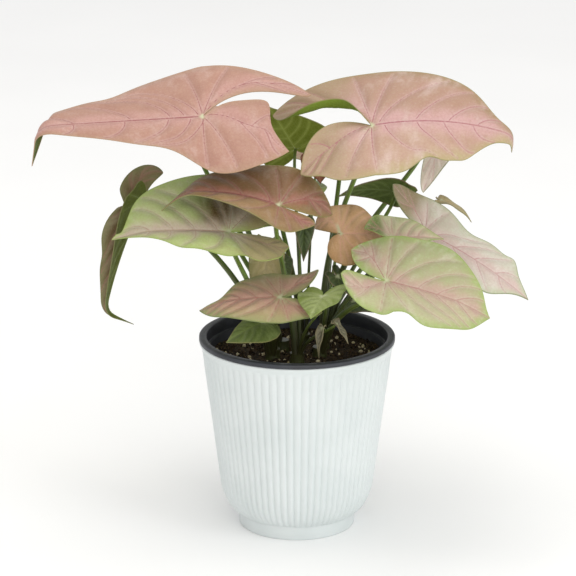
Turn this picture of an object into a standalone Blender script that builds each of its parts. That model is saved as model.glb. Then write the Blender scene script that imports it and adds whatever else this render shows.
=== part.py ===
"""Pink arrowhead plant in its nursery pot, standing in a ribbed white cover pot.

The frame is +Z up, with the origin in the middle of the cover pot's flat underside. The front is -Y.
Sizes are in millimetres up to the point where a mesh is made, and MM turns them to metres there.
"""

import math
from dataclasses import dataclass

import bmesh
import bpy
import numpy as np
from mathutils import Matrix, Vector, noise

MM = 0.001
GAP = 0.3

# Driving dimensions of the cover pot.
POT_HEIGHT = 128.0
LIP_RADIUS = 64.8
WALL_TOP_RADIUS = 61.2
WALL_LOW_RADIUS = 51.0
BODY_EDGE_RADIUS = 40.8
FOOT_RADIUS = 39.2
FOOT_HEIGHT = 9.6
WALL = 2.2
FLOOR = 3.0
LIP_BEVEL = 1.6
COLLAR_FLARE = 1.5
COLLAR_HEIGHT = 122.5
WALL_LOW_HEIGHT = 33.0
TAPER_RADIUS = 47.4
TAPER_HEIGHT = 18.5
RIBS = 72
RIB_DEPTH = 0.75
RIB_TOP = 115.0
RIB_FADE = 3.0

# Driving dimensions of the nursery pot and its soil.
RIM_RADIUS = 65.0
RIM_TOP = 131.2
RIM_WIDTH = 5.0
LINER_WALL = 1.0
LINER_FLOOR = 20.0
LINER_FLOOR_RADIUS = 42.5
RIM_BEVEL = 0.6
LEDGE_HEIGHT = 122.6
LEDGE_WIDTH = 1.6
DRAIN_RADIUS = 3.5
DRAIN_CIRCLE = 28.0
DRAIN_HOLES = 6
DRAIN_SIDES = 10
TURN_STEPS = 48
SOIL_STEPS = 24
SOIL_RINGS = 5
SOIL_EDGE_GAP = 0.5
SOIL_TOP = 117.5
SOIL_RELIEF = 2.2
SOIL_GRAIN = 70.0
CROWN_RADIUS = 5.6
CROWN_DEPTH = 22.0
CROWN_TOP = 7.0
CROWN_TAPER = 0.8
CROWN_SIDES = 12

# Driving dimensions of the foliage.
BLADE_THICKNESS = 0.8
LEAST_BELLY = 0.16
LOBE_SHARE = 0.4
LIP_SHARE = 0.33
HOOK_REACH = 0.16
MARGIN_WAVES = 2.3
SWELL_END = 0.03
SPINE_POINTS = 321
LEAST_CURL = 0.0001
SHARP_ANGLE = 35.0
STALK_BASE_RADIUS = 2.7
STALK_TOP_RADIUS = 1.5
STALK_SIDES = 6
STALK_POINTS = 8
STALK_START = 3.0
STALK_OFFSET = 2.2
STALK_LEAN = 0.18
STALK_RISE = 0.45
STALK_ARRIVAL = 0.22
STALK_FULL_LENGTH = 55.0
STALK_LEAST = 0.5

# Surface colours, linear RGB.
COLOURS = {
    "pink": (0.62, 0.31, 0.25),
    "pale_pink": (0.66, 0.48, 0.42),
    "brown_pink": (0.38, 0.20, 0.14),
    "orange_brown": (0.48, 0.22, 0.10),
    "lime": (0.48, 0.55, 0.19),
    "green": (0.12, 0.24, 0.04),
    "dark_green": (0.04, 0.10, 0.03),
    "olive": (0.20, 0.19, 0.07),
    "withered": (0.50, 0.45, 0.33),
    "stalk": (0.10, 0.20, 0.05),
    "white": (0.72, 0.78, 0.78),
    "black": (0.02, 0.024, 0.03),
    "peat": (0.05, 0.03, 0.018),
}


@dataclass(frozen=True)
class Leaf:
    """One arrow-shaped leaf. Lengths are in mm and angles in degrees, and a pair is left and right.

    shoot is the shoot that bears it, and at is where its stalk meets the blade. length is from
    there to the tip, and halves are the widths of the two halves. heading turns the midrib from +X
    towards +Y, pitch raises it at the stalk, and bank raises the left half. lobes are the basal
    lobes' shares of the length, spread sets how far out they point, and sinus how far their inner
    edges keep from the middle line. shoulder is where each half is widest, as a share of the
    length, and belly how full it stays towards the tip. bow bends the midrib down over its whole
    length, and hook bends it further past hook_at of it. fold raises both halves into a V, or
    lowers them into a tent, at the stalk and at the tip. cup curls the margins down, and twist
    turns the blade about its midrib towards the tip. drop bends the lobes down, roll curls them up
    into gutters, and lip turns up their inner edges. sharp is how pointed the lobes are. ruffle is
    the height of the margin's waves. Each swell (side, s, width, along, out, up) pushes one half's
    margin, in mm, round the share s of its length, and each of the inlets does so with a lobe's
    inner edge. rows and columns are the points along and across each half. via moves the middle
    of the stalk's curve.
    """

    name: str
    shoot: str
    colour: str
    at: tuple
    length: float
    halves: tuple
    heading: float
    pitch: float
    bank: float = 0.0
    lobes: tuple = (0.5, 0.5)
    spread: tuple = (0.55, 0.55)
    shoulder: tuple = (-0.05, -0.05)
    belly: tuple = (0.4, 0.4)
    sinus: tuple = (0.04, 0.04)
    bow: float = 20.0
    hook: float = 0.0
    hook_at: float = 0.6
    fold: tuple = (8.0, 8.0)
    cup: float = 14.0
    drop: tuple = (12.0, 12.0)
    roll: tuple = (0.0, 0.0)
    lip: tuple = (0.0, 0.0)
    twist: float = 0.0
    sharp: tuple = (0.3, 0.3)
    swells: tuple = ()
    inlets: tuple = ()
    ruffle: float = 1.2
    rows: int = 13
    columns: int = 3
    via: tuple = (0.0, 0.0, 0.0)


LEAVES = (
    # Large upper leaves.
    Leaf("leaf_01", "left_back", "pink", (-61, -20, 285), 142, (45, 49), 182, -3, -34,
         lobes=(0.38, 0.50), spread=(0.70, 0.3), shoulder=(-0.08, -0.04), belly=(-0.5, 0.6),
         sinus=(-0.7, 0.8), bow=0, hook=80, hook_at=0.66, fold=(0, -12), twist=24, drop=(0, 2),
         roll=(0, 20), sharp=(1.0, 0.3),
         swells=((1, 0.57, 0.10, 0, -11, 0), (1, 0.72, 0.10, 0, -5, 0), (-1, 0.62, 0.05, 0, -5, 0)),
         inlets=((1, 0.19, 0.06, -8, -6, 0),)),
    Leaf("leaf_02", "right_back", "pink", (48, -20, 279), 110, (48, 43), -6, 12, 34,
         lobes=(0.62, 0.44), spread=(0.7, 0.7), shoulder=(0.02, -0.1), belly=(0.8, 0.4),
         sinus=(0.35, -0.45), bow=48, hook=60, hook_at=0.78, fold=(5, -14), twist=20,
         drop=(16, 4), roll=(20, 90), lip=(180, 0), via=(-13, 22, 0),
         swells=((1, 0.84, 0.11, -4, -7, 0), (-1, 0.20, 0.09, 0, -4, 0), (-1, 0.60, 0.05, 0, -5, 4),
                 (-1, 0.74, 0.04, 0, 2, -2), (-1, 0.84, 0.05, 0, -2, 2))),
    # Middle tier.
    Leaf("leaf_03", "front", "brown_pink", (-12, -50, 234), 86, (29, 32), 176, 20, -25,
         lobes=(0.32, 0.40), shoulder=(-0.1, 0.0), belly=(-0.3, 0.6), bow=44, hook=24, fold=(20, 6),
         twist=20, drop=(-20, 36), via=(0, 12, 0)),
    Leaf("leaf_04", "left", "lime", (-44, -42, 214), 78, (32, 46), 178, 4, -27, lobes=(0.52, 0.45),
         shoulder=(-0.3, 0.1), belly=(0.0, 1.3), bow=16, hook=10, fold=(16, 14), drop=(-10, 6),
         swells=((1, 0.48, 0.05, 0, -3, 2), (1, 0.72, 0.05, 0, 3, -1), (-1, 0.86, 0.08, 0, -11, 0))),
    Leaf("leaf_05", "left", "brown_pink", (-101, 14, 220), 101, (21, 18), 215, -58,
         lobes=(0.1, 0.14), spread=(0.6, 0.8), shoulder=(0.04, 0.12), belly=(0.1, 0.0), bow=22,
         hook=70, hook_at=0.68, fold=(66, 44), cup=0, drop=(0, 90),
         swells=((-1, 0.34, 0.07, 0, -7, 0), (-1, 0.6, 0.06, 0, -2, 0))),
    Leaf("leaf_06", "left", "brown_pink", (-11, -58, 175), 54, (22, 30), 182, 1, -20,
         lobes=(0.50, 0.5), shoulder=(0.0, 0.1), belly=(1.4, 0.2), bow=16, hook=14, fold=(-2, 4),
         drop=(6, -50), swells=((-1, 0.8, 0.1, 0, -6, 0),)),
    Leaf("leaf_07", "right", "lime", (57, -62, 187), 71, (34, 40), -16, -8, 25, lobes=(0.40, 0.48),
         shoulder=(0.0, 0.2), belly=(1.4, 1.3), bow=14, hook=10, fold=(20, 8), drop=(8, -54),
         swells=((1, 0.55, 0.12, 0, 10, 0), (1, 0.9, 0.08, 0, -3, 0), (-1, 0.43, 0.05, 0, -6, 3),
                 (-1, 0.65, 0.13, 0, -5, 0))),
    Leaf("leaf_08", "right_back", "pale_pink", (84, 3, 201), 82, (30, 20), -15, -22, 24,
         lobes=(0.44, 0.15), belly=(1.0, 0.5), bow=22, fold=(8, 4), drop=(-34, 10),
         swells=((1, 0.54, 0.08, 0, -9, 0), (1, 0.78, 0.05, 0, 6, 0), (-1, 0.78, 0.11, 0, 9, -1))),
    Leaf("leaf_09", "right", "orange_brown", (28, -15, 205), 36, (28, 28), 10, 0, 30,
         lobes=(0.5, 0.3), sharp=(0.8, 0.3), shoulder=(0.2, -0.05), bow=16, fold=(6, 6),
         drop=(80, 10), rows=9, columns=2),
    Leaf("leaf_10", "right", "lime", (62, -30, 206), 34, (23, 10), 5, 6, 24, lobes=(0.5, 0.3),
         bow=20, drop=(0, 10), roll=(160, 0), rows=9, columns=2),
    # Leaves seen behind and between the others.
    Leaf("leaf_11", "right_back", "dark_green", (66, 34, 220), 44, (11, 13), 180, 14, 60,
         lobes=(0.3, 0.3), bow=50, drop=(10, 10), rows=9, columns=2),
    Leaf("leaf_12", "back", "green", (-1, 42, 247), 38, (27, 24), -159, 60, 60, lobes=(0.2, 0.2),
         bow=10, rows=9, columns=2),
    Leaf("leaf_13", "back", "brown_pink", (14, 24, 244), 16, (12, 12), -80, -50, rows=7, columns=2),
    Leaf("leaf_14", "right_back", "pale_pink", (88, 46, 256), 76, (34, 28), 68, 0,
         lobes=(0.3, 0.7), spread=(0.5, 0.4), sinus=(0.1, 0.3), bow=40, drop=(10, 70),
         via=(-10, 14, 0)),
    Leaf("leaf_15", "right_back", "olive", (96, 38, 213), 26, (8, 8), -8, -10, lobes=(0.15, 0.15),
         bow=50, rows=7, columns=2),
    Leaf("leaf_16", "front", "lime", (16, -66, 178), 21, (14, 17), -115, -24, 6, lobes=(0.75, 0.4),
         spread=(0.9, 0.6), bow=8, rows=8, columns=2),
    Leaf("leaf_17", "right_back", "dark_green", (37, 1, 154), 24, (11, 11), -20, -8, 20,
         lobes=(0.2, 0.2), rows=7, columns=2),
    Leaf("leaf_18", "left", "green", (-22, -38, 152), 28, (17, 11), 202, -16, -26,
         lobes=(0.25, 0.25), belly=(0.8, 0.6), rows=8, columns=2),
    Leaf("leaf_19", "right", "dark_green", (26, -28, 180), 24, (8, 8), -20, -40, 20,
         lobes=(0.3, 0.3), rows=7, columns=2),
    Leaf("leaf_20", "front", "dark_green", (4, -12, 211), 26, (8, 8), -80, -78, lobes=(0.2, 0.2),
         fold=(40, 40), rows=7, columns=2),
    Leaf("leaf_26", "left", "olive", (-20, -7, 187), 30, (12, 12), -100, -68, belly=(1.4, 1.4),
         rows=7, columns=2),
    Leaf("leaf_27", "front", "dark_green", (-10, 2, 180), 14, (8, 8), -60, -50, rows=5, columns=1),
    # Rear leaves.
    Leaf("leaf_21", "left_back", "pink", (-70, 67, 258), 88, (38, 38), 122, 8, bow=34, hook=20),
    Leaf("leaf_22", "right_back", "pink", (30, 80, 238), 84, (38, 38), 75, 0, lobes=(0.36, 0.36),
         bow=34, hook=20),
    Leaf("leaf_23", "back", "lime", (-14, 66, 214), 80, (34, 34), 98, 0, lobes=(0.3, 0.3), bow=30,
         hook=20),
    Leaf("leaf_24", "left_back", "lime", (-44, 54, 190), 66, (33, 33), 116, -4, lobes=(0.3, 0.2),
         bow=26, hook=20),
    Leaf("leaf_25", "right_back", "brown_pink", (56, 66, 180), 64, (30, 30), 50, -8,
         lobes=(0.25, 0.25), bow=30, hook=20),
    # Withered leaves low on the shoots.
    Leaf("withered_leaf_1", "front", "withered", (17, -40, 148), 20, (5, 4), -130, -62,
         lobes=(0.1, 0.1), bow=30, fold=(50, 55), rows=7, columns=1),
    Leaf("withered_leaf_2", "front", "withered", (25, -38, 150), 15, (5, 5), -20, -44,
         lobes=(0.25, 0.25), bow=20, fold=(22, 22), cup=0, rows=6, columns=1),
)

# Where each shoot stands in the soil, mm.
SHOOTS = {
    "left": (-16.0, -8.0),
    "front": (0.0, -17.0),
    "right": (15.0, -4.0),
    "left_back": (-10.0, 11.0),
    "back": (4.0, 24.0),
    "right_back": (17.0, 16.0),
}


def bezier(points, k):
    """Point on the cubic curve through four control points, for an array k from 0 to 1."""
    a, b, c, d = (np.array(p, float)[:, None] for p in points)
    return a * (1 - k) ** 3 + 3 * b * k * (1 - k) ** 2 + 3 * c * k**2 * (1 - k) + d * k**3


def smooth(x):
    """0 below 0, 1 above 1, and an even S between."""
    x = np.clip(x, 0.0, 1.0)
    return x * x * (3 - 2 * x)


def blade_edges(leaf, s, side):
    """(along, out) of the inner edge and of the margin of one half of the blade laid flat.

    s runs from the tip of the basal lobe to the tip of the leaf. The inner edge is the lobe's own
    edge as far as the stalk, and the midrib from there on.
    """
    which = 0 if side > 0 else 1
    half, tip = leaf.halves[which], leaf.length
    back = leaf.lobes[which] * tip
    nearest = min(leaf.lobes) * tip
    sinus = leaf.sinus[which] * half
    reach = leaf.spread[which] * half
    shoulder = leaf.shoulder[which] * tip
    belly = leaf.belly[which]
    sharp = leaf.sharp[which]
    lobe_k = np.clip(s / LOBE_SHARE, 0, 1)
    front_k = np.clip((s - LOBE_SHARE) / (1 - LOBE_SHARE), 0, 1)
    lobe_outer = bezier(
        [
            (-back, reach),
            (-0.84 * back, reach + (0.36 - 0.24 * sharp) * half),
            (shoulder - 0.4 * back, half),
            (shoulder, half),
        ],
        lobe_k,
    )
    lobe_inner = bezier(
        [
            (-back, reach),
            ((0.3 * sharp - 1) * back, (0.3 + 0.45 * sharp) * reach + 0.5 * min(0, sinus)),
            (-0.6 * nearest, sinus),
            (0, 0),
        ],
        lobe_k,
    )
    front_outer = bezier(
        [
            (shoulder, half),
            (shoulder + (0.36 + 0.22 * belly) * tip, half),
            ((0.60 + 0.20 * belly) * tip, max(LEAST_BELLY, 0.14 + 0.30 * belly) * half),
            (tip, 0),
        ],
        front_k,
    )
    front_inner = np.stack([tip * front_k, np.zeros_like(front_k)])
    on_lobe = s <= LOBE_SHARE
    outer = np.where(on_lobe, lobe_outer, front_outer)
    for push, along, out, _ in swells_on(leaf.swells, s, side):
        outer = outer + push * np.array([[along], [out]])
    for push, along, out, _ in swells_on(leaf.inlets, s, side):
        lobe_inner = lobe_inner + push * np.array([[along], [out]])
    return np.where(on_lobe, lobe_inner, front_inner), outer


def swells_on(swells, s, side):
    """(share, along, out, up) of each swell on one half's edge, with its share at each s."""
    ends = smooth(s / SWELL_END) * smooth((1 - s) / SWELL_END)
    return [
        (np.exp(-(((s - at) / width) ** 2)) * ends, along, out, up)
        for where, at, width, along, out, up in swells
        if where == side
    ]


def spine(leaf, side):
    """Tables (along, forward, up, slope) of the bent line that the blade hangs on.

    The slope is downward, in radians.
    """
    back = leaf.lobes[0 if side > 0 else 1] * leaf.length
    along = np.linspace(-leaf.length, leaf.length, SPINE_POINTS)
    share = along / leaf.length
    bend = leaf.hook * smooth((share - leaf.hook_at) / HOOK_REACH)
    front = np.radians(leaf.bow * share + bend)
    lobe = np.radians(leaf.drop[0 if side > 0 else 1]) * np.maximum(along / back, -1)
    slope = np.where(along >= 0, front, lobe)
    step = np.gradient(along)
    forward = np.cumsum(np.cos(slope) * step)
    up = -np.cumsum(np.sin(slope) * step)
    forward -= np.interp(0, along, forward)
    up -= np.interp(0, along, up)
    return along, forward, up, slope


def pose_matrix(leaf):
    """Turns the leaf's own axes (forward, left, up) to the plant's."""
    return np.array(
        Matrix.Rotation(math.radians(leaf.heading), 3, "Z")
        @ Matrix.Rotation(math.radians(-leaf.pitch), 3, "Y")
        @ Matrix.Rotation(math.radians(leaf.bank), 3, "X")
    )


def arc(angle, curl, width):
    """(out, rise) over a width of a line that starts at an angle and turns evenly by curl."""
    curl = np.where(np.abs(curl) < LEAST_CURL, LEAST_CURL, curl)
    out = width * (np.sin(angle + curl) - np.sin(angle)) / curl
    rise = width * (np.cos(angle) - np.cos(angle + curl)) / curl
    return out, rise


def blade_points(leaf, s, t, side):
    """Points of one half of the blade in the plant's frame, mm, as rows of x, y, z.

    t runs from the inner edge to the margin. Across the blade, the surface follows an arc for the
    fold and the cup, then from the middle of the strip a second arc that the lobe's roll adds to,
    and on the strip nearest to a lobe's inner edge a third one for its lip.
    """
    inner, outer = blade_edges(leaf, s, side)
    u, w = inner * (1 - t) + outer * t
    half = leaf.halves[0 if side > 0 else 1]
    strip = outer[1] - inner[1]
    middle = (outer[1] + inner[1]) / 2
    share = np.clip(u / leaf.length, 0, 1)
    fold = np.radians(leaf.fold[0] + (leaf.fold[1] - leaf.fold[0]) * share)
    cup = math.radians(leaf.cup) / half
    roll = math.radians(leaf.roll[0 if side > 0 else 1]) * (1 - smooth(s / LOBE_SHARE))
    lip = math.radians(leaf.lip[0 if side > 0 else 1])
    lip = lip * np.sin(math.pi * np.clip(s / LOBE_SHARE, 0, 1) ** 2)
    middle_angle = fold - cup * middle
    curl = roll - cup * strip
    outward = np.maximum(t, LIP_SHARE) - 0.5
    inward = np.minimum(t, LIP_SHARE) - LIP_SHARE
    lip_angle = middle_angle + curl * (LIP_SHARE - 0.5)
    arcs = (
        arc(fold, -cup * middle, middle),
        arc(middle_angle, curl * outward, strip * outward),
        arc(lip_angle, (curl + lip / LIP_SHARE) * inward, strip * inward),
    )
    out = sum(part[0] for part in arcs)
    rise = sum(part[1] for part in arcs)
    waves = np.sin(MARGIN_WAVES * math.tau * s + side + leaf.length)
    rise = rise + leaf.ruffle * (w / half) ** 2 * waves
    for push, _, _, up in swells_on(leaf.swells, s, side):
        rise = rise + push * up * t**2
    along, forward, up, slope = spine(leaf, side)
    x, z, angle = (np.interp(u, along, table) for table in (forward, up, slope))
    twist = np.radians(leaf.twist) * share
    left = side * out * np.cos(twist) - rise * np.sin(twist)
    normal = side * out * np.sin(twist) + rise * np.cos(twist)
    local = np.stack([x + normal * np.sin(angle), left, z + normal * np.cos(angle)], -1)
    return local @ pose_matrix(leaf).T + np.array(leaf.at, float)


def blade_mesh(leaf):
    """Open triangulated sheet of the whole blade.

    Each half starts as a grid that is then drawn into shape.
    """
    bm = bmesh.new()
    knee = round(LOBE_SHARE * leaf.rows) / leaf.rows
    for side in (1, -1):
        sheet = bmesh.ops.create_grid(bm, x_segments=leaf.rows, y_segments=leaf.columns, size=0.5)
        grid = sheet["verts"]
        x, t = np.array([(v.co.x + 0.5, v.co.y + 0.5) for v in grid]).T
        s = np.interp(x, (0, knee, 1), (0, LOBE_SHARE, 1))
        for vert, point in zip(grid, blade_points(leaf, s, t, side)):
            vert.co = Vector(point) * MM
        if side < 0:
            bmesh.ops.reverse_faces(bm, faces=list({f for v in grid for f in v.link_faces}))
    bmesh.ops.remove_doubles(bm, verts=bm.verts, dist=0.01 * MM)
    bmesh.ops.triangulate(bm, faces=bm.faces, quad_method="FIXED")
    mesh = bpy.data.meshes.new(leaf.name)
    bm.to_mesh(mesh)
    bm.free()
    return mesh


def tube_mesh(points, headings, radii, sides):
    """Closed tube of rings round points in mm, each ring square to its heading."""
    bm = bmesh.new()
    across = Vector(headings[0]).orthogonal()
    rings = []
    for point, heading, radius in zip(points, headings, radii):
        along = Vector(heading).normalized()
        across = (across - across.dot(along) * along).normalized()
        turn = Matrix((across, along.cross(across), along)).transposed().to_4x4()
        place = Matrix.Translation(Vector(point) * MM) @ turn
        ring = bmesh.ops.create_circle(bm, segments=sides, radius=radius * MM, matrix=place)
        rings.append(ring["verts"])
    for low, high in zip(rings, rings[1:]):
        for j in range(sides):
            k = (j + 1) % sides
            bm.faces.new((low[j], low[k], high[k], high[j]))
    bm.faces.new(rings[0][::-1])
    bm.faces.new(rings[-1])
    bmesh.ops.recalc_face_normals(bm, faces=bm.faces)
    mesh = bpy.data.meshes.new("tube")
    bm.to_mesh(mesh)
    bm.free()
    return mesh


def stalk_mesh(leaf):
    """Leaf stalk from its shoot's crown to just under the blade, where it ends square to it."""
    k = np.linspace(0, 1, STALK_POINTS)
    at = np.array(leaf.at, float)
    normal = pose_matrix(leaf)[:, 2]
    slender = min(1.0, max(STALK_LEAST, leaf.length / STALK_FULL_LENGTH))
    top_radius = STALK_TOP_RADIUS * slender
    tent = math.tan(math.radians(max(0.0, -leaf.fold[0])))
    top = at - normal * (BLADE_THICKNESS / 2 + GAP + top_radius * tent)
    crown = np.array((*SHOOTS[leaf.shoot], SOIL_TOP + STALK_START))
    toward = top - crown
    flat = toward[:2] / max(1.0, np.hypot(*toward[:2]))
    base = crown + np.array((*(flat * STALK_OFFSET), 0.0))
    reach = np.linalg.norm(toward)
    via = np.array(leaf.via, float)
    lean = toward[:2] * STALK_LEAN
    rising = base + np.array((*lean, reach * STALK_RISE)) + via
    arriving = top - normal * reach * STALK_ARRIVAL + via / 2
    points = bezier((base, rising, arriving, top), k).T
    headings = np.gradient(points, axis=0)
    headings[0], headings[-1] = rising - base, normal
    base_radius = STALK_BASE_RADIUS * slender
    radii = top_radius + (base_radius - top_radius) * (1 - k) ** 3
    return tube_mesh(points, headings, radii, STALK_SIDES)


def turned_mesh(profile, steps):
    """Closed body turned about Z from a profile of (radius, height) in mm, outer side downwards."""
    mesh = bpy.data.meshes.new("profile")
    points = [(radius * MM, 0, height * MM) for radius, height in profile]
    mesh.from_pydata(points, [(i, i + 1) for i in range(len(points) - 1)], [])
    made = bpy.data.objects.new("profile", mesh)
    screw = made.modifiers.new("turn", "SCREW")
    screw.steps = steps
    screw.render_steps = steps
    screw.use_merge_vertices = True
    screw.merge_threshold = 0.01 * MM
    return applied(made)


def applied(made):
    """The mesh that an object's modifiers give, with the object itself removed."""
    bpy.context.scene.collection.objects.link(made)
    bpy.context.view_layer.update()
    graph = bpy.context.evaluated_depsgraph_get()
    mesh = bpy.data.meshes.new_from_object(made.evaluated_get(graph))
    bpy.data.objects.remove(made)
    return mesh


def combined(mesh, others, operation):
    """Mesh after one Boolean with several other meshes, whose objects are removed again."""
    group = bpy.data.collections.new("operands")
    bpy.context.scene.collection.children.link(group)
    for other in others:
        group.objects.link(bpy.data.objects.new("operand", other))
    body = bpy.data.objects.new("body", mesh)
    boolean = body.modifiers.new("boolean", "BOOLEAN")
    boolean.operation = operation
    boolean.operand_type = "COLLECTION"
    boolean.collection = group
    boolean.solver = "EXACT"
    result = applied(body)
    for operand in list(group.objects):
        bpy.data.objects.remove(operand)
    bpy.data.collections.remove(group)
    return result


def cylinder_mesh(centre, bottom, top, radius, sides, top_radius=None):
    """Upright cylinder, or a cone cut short where it has its own top radius."""
    bm = bmesh.new()
    bmesh.ops.create_cone(
        bm,
        cap_ends=True,
        segments=sides,
        radius1=radius * MM,
        radius2=(radius if top_radius is None else top_radius) * MM,
        depth=(top - bottom) * MM,
        matrix=Matrix.Translation(Vector((*centre, (top + bottom) / 2)) * MM),
    )
    mesh = bpy.data.meshes.new("cylinder")
    bm.to_mesh(mesh)
    bm.free()
    return mesh


def cover_mesh():
    """Cover pot: a turned body with upright ribs, hollowed from above."""
    outside = [
        (0, POT_HEIGHT),
        (LIP_RADIUS - LIP_BEVEL / 2, POT_HEIGHT),
        (LIP_RADIUS, POT_HEIGHT - LIP_BEVEL),
        (WALL_TOP_RADIUS + COLLAR_FLARE, COLLAR_HEIGHT),
        (WALL_TOP_RADIUS + COLLAR_FLARE / 4, RIB_TOP),
        (WALL_TOP_RADIUS, RIB_TOP - RIB_FADE),
        (WALL_LOW_RADIUS, WALL_LOW_HEIGHT),
        (TAPER_RADIUS, TAPER_HEIGHT),
        (BODY_EDGE_RADIUS, FOOT_HEIGHT + LIP_BEVEL / 2),
        (FOOT_RADIUS, FOOT_HEIGHT),
        (FOOT_RADIUS - LIP_BEVEL / 2, 0),
        (0, 0),
    ]
    body = turned_mesh(outside, 2 * RIBS)
    low, high = (FOOT_HEIGHT + GAP) * MM, (RIB_TOP - GAP) * MM
    for vert in body.vertices:
        x, y, z = vert.co
        if low < z < high:
            ridge = math.cos(RIBS * math.atan2(y, x))
            swell = 1 + ridge * RIB_DEPTH / 2 * MM / math.hypot(x, y)
            vert.co = Vector((x * swell, y * swell, z))
    mouth = LIP_RADIUS - WALL + GAP
    deepest = FOOT_RADIUS - FLOOR
    inside = [
        (0, POT_HEIGHT + LIP_BEVEL),
        (mouth, POT_HEIGHT + LIP_BEVEL),
        (mouth, POT_HEIGHT - LIP_BEVEL),
        (WALL_TOP_RADIUS, COLLAR_HEIGHT),
        (WALL_TOP_RADIUS - WALL, RIB_TOP - RIB_FADE),
        (WALL_LOW_RADIUS - WALL, WALL_LOW_HEIGHT),
        (TAPER_RADIUS - WALL, TAPER_HEIGHT + LIP_BEVEL),
        (deepest, FOOT_HEIGHT + WALL),
        (deepest, FLOOR),
        (0, FLOOR),
    ]
    return combined(body, [turned_mesh(inside, TURN_STEPS)], "DIFFERENCE")


def liner_mesh():
    """Nursery pot: a thin tapered cup with a stepped band under a broad rim, and drain holes in its
    floor."""
    inner = RIM_RADIUS - RIM_WIDTH
    ledge = inner - LEDGE_WIDTH
    profile = [
        (0, LINER_FLOOR + LINER_WALL),
        (LINER_FLOOR_RADIUS - LINER_WALL, LINER_FLOOR + LINER_WALL),
        (ledge, LEDGE_HEIGHT),
        (inner, LEDGE_HEIGHT),
        (inner, RIM_TOP - RIM_BEVEL),
        (inner + RIM_BEVEL, RIM_TOP),
        (RIM_RADIUS - RIM_BEVEL, RIM_TOP),
        (RIM_RADIUS, RIM_TOP - RIM_BEVEL),
        (RIM_RADIUS, POT_HEIGHT + GAP),
        (inner + LINER_WALL, POT_HEIGHT + GAP),
        (inner + LINER_WALL, LEDGE_HEIGHT - LINER_WALL),
        (ledge + LINER_WALL, LEDGE_HEIGHT - LINER_WALL),
        (LINER_FLOOR_RADIUS, LINER_FLOOR),
        (0, LINER_FLOOR),
    ]
    low, high = LINER_FLOOR - LINER_WALL, LINER_FLOOR + 2 * LINER_WALL
    holes = []
    for i in range(DRAIN_HOLES):
        turn = math.tau * i / DRAIN_HOLES
        centre = (DRAIN_CIRCLE * math.cos(turn), DRAIN_CIRCLE * math.sin(turn))
        holes.append(cylinder_mesh(centre, low, high, DRAIN_RADIUS, DRAIN_SIDES))
    return combined(turned_mesh(profile, TURN_STEPS), holes, "DIFFERENCE")


def soil_mesh():
    """Soil that fills the nursery pot, with an uneven top and a plain hole for each shoot."""
    ledge = RIM_RADIUS - RIM_WIDTH - LEDGE_WIDTH
    bottom = LINER_FLOOR + LINER_WALL
    floor_radius = LINER_FLOOR_RADIUS - LINER_WALL
    slope = (ledge - floor_radius) / (LEDGE_HEIGHT - bottom)
    edge = ledge - slope * (LEDGE_HEIGHT - SOIL_TOP) - SOIL_EDGE_GAP
    profile = [(edge * i / SOIL_RINGS, SOIL_TOP) for i in range(SOIL_RINGS + 1)]
    profile += [(floor_radius - SOIL_EDGE_GAP, bottom + GAP), (0, bottom + GAP)]
    body = turned_mesh(profile, SOIL_STEPS)
    for vert in body.vertices:
        from_axis = math.hypot(vert.co.x, vert.co.y)
        if vert.co.z > (SOIL_TOP - GAP) * MM and from_axis < (edge - GAP) * MM:
            vert.co.z += SOIL_RELIEF * MM * noise.noise(vert.co * SOIL_GRAIN)
    low, high = SOIL_TOP - CROWN_DEPTH, SOIL_TOP + CROWN_TOP
    radius = CROWN_RADIUS + GAP
    holes = [cylinder_mesh(at, low, high, radius, CROWN_SIDES) for at in SHOOTS.values()]
    return combined(body, holes, "DIFFERENCE")


def shoot_mesh(shoot):
    """One shoot: a crown that stands in the soil, with its leaf stalks fused to it."""
    low, high = SOIL_TOP - CROWN_DEPTH + GAP, SOIL_TOP + CROWN_TOP
    narrow = CROWN_RADIUS - CROWN_TAPER
    crown = cylinder_mesh(SHOOTS[shoot], low, high, CROWN_RADIUS, CROWN_SIDES, narrow)
    stalks = [stalk_mesh(leaf) for leaf in LEAVES if leaf.shoot == shoot]
    return combined(crown, stalks, "UNION")


def make_material(name, colour, roughness):
    """Plain material of one colour."""
    material = bpy.data.materials.new(name)
    material.use_nodes = True
    shader = material.node_tree.nodes["Principled BSDF"]
    shader.inputs["Base Color"].default_value = (*colour, 1.0)
    shader.inputs["Roughness"].default_value = roughness
    return material


def add_object(name, mesh, material, collection):
    """Object with smooth shading between its sharp edges."""
    made = bpy.data.objects.new(name, mesh)
    mesh.shade_smooth()
    mesh.set_sharp_from_angle(angle=math.radians(SHARP_ANGLE))
    mesh.materials.clear()
    mesh.materials.append(material)
    collection.objects.link(made)
    return made


def make_leaf(leaf, collection):
    """Blade of one leaf: its sheet with the blade's thickness."""
    material = make_material(leaf.name, COLOURS[leaf.colour], 0.5)
    blade = add_object(leaf.name, blade_mesh(leaf), material, collection)
    wall = blade.modifiers.new("thickness", "SOLIDIFY")
    wall.thickness = BLADE_THICKNESS * MM
    wall.offset = 0.0
    return blade


def main():
    """Clears the scene and models the whole plant with its two pots."""
    for old in list(bpy.data.objects):
        bpy.data.objects.remove(old)
    plant = bpy.data.collections.new("arrowhead_plant")
    bpy.context.scene.collection.children.link(plant)
    add_object("pot_cover", cover_mesh(), make_material("pot_cover", COLOURS["white"], 0.35), plant)
    add_object("pot_liner", liner_mesh(), make_material("pot_liner", COLOURS["black"], 0.4), plant)
    add_object("soil", soil_mesh(), make_material("soil", COLOURS["peat"], 0.95), plant)
    for shoot in SHOOTS:
        material = make_material("shoot_" + shoot, COLOURS["stalk"], 0.45)
        add_object("shoot_" + shoot, shoot_mesh(shoot), material, plant)
    for leaf in LEAVES:
        make_leaf(leaf, plant)


main()
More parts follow.
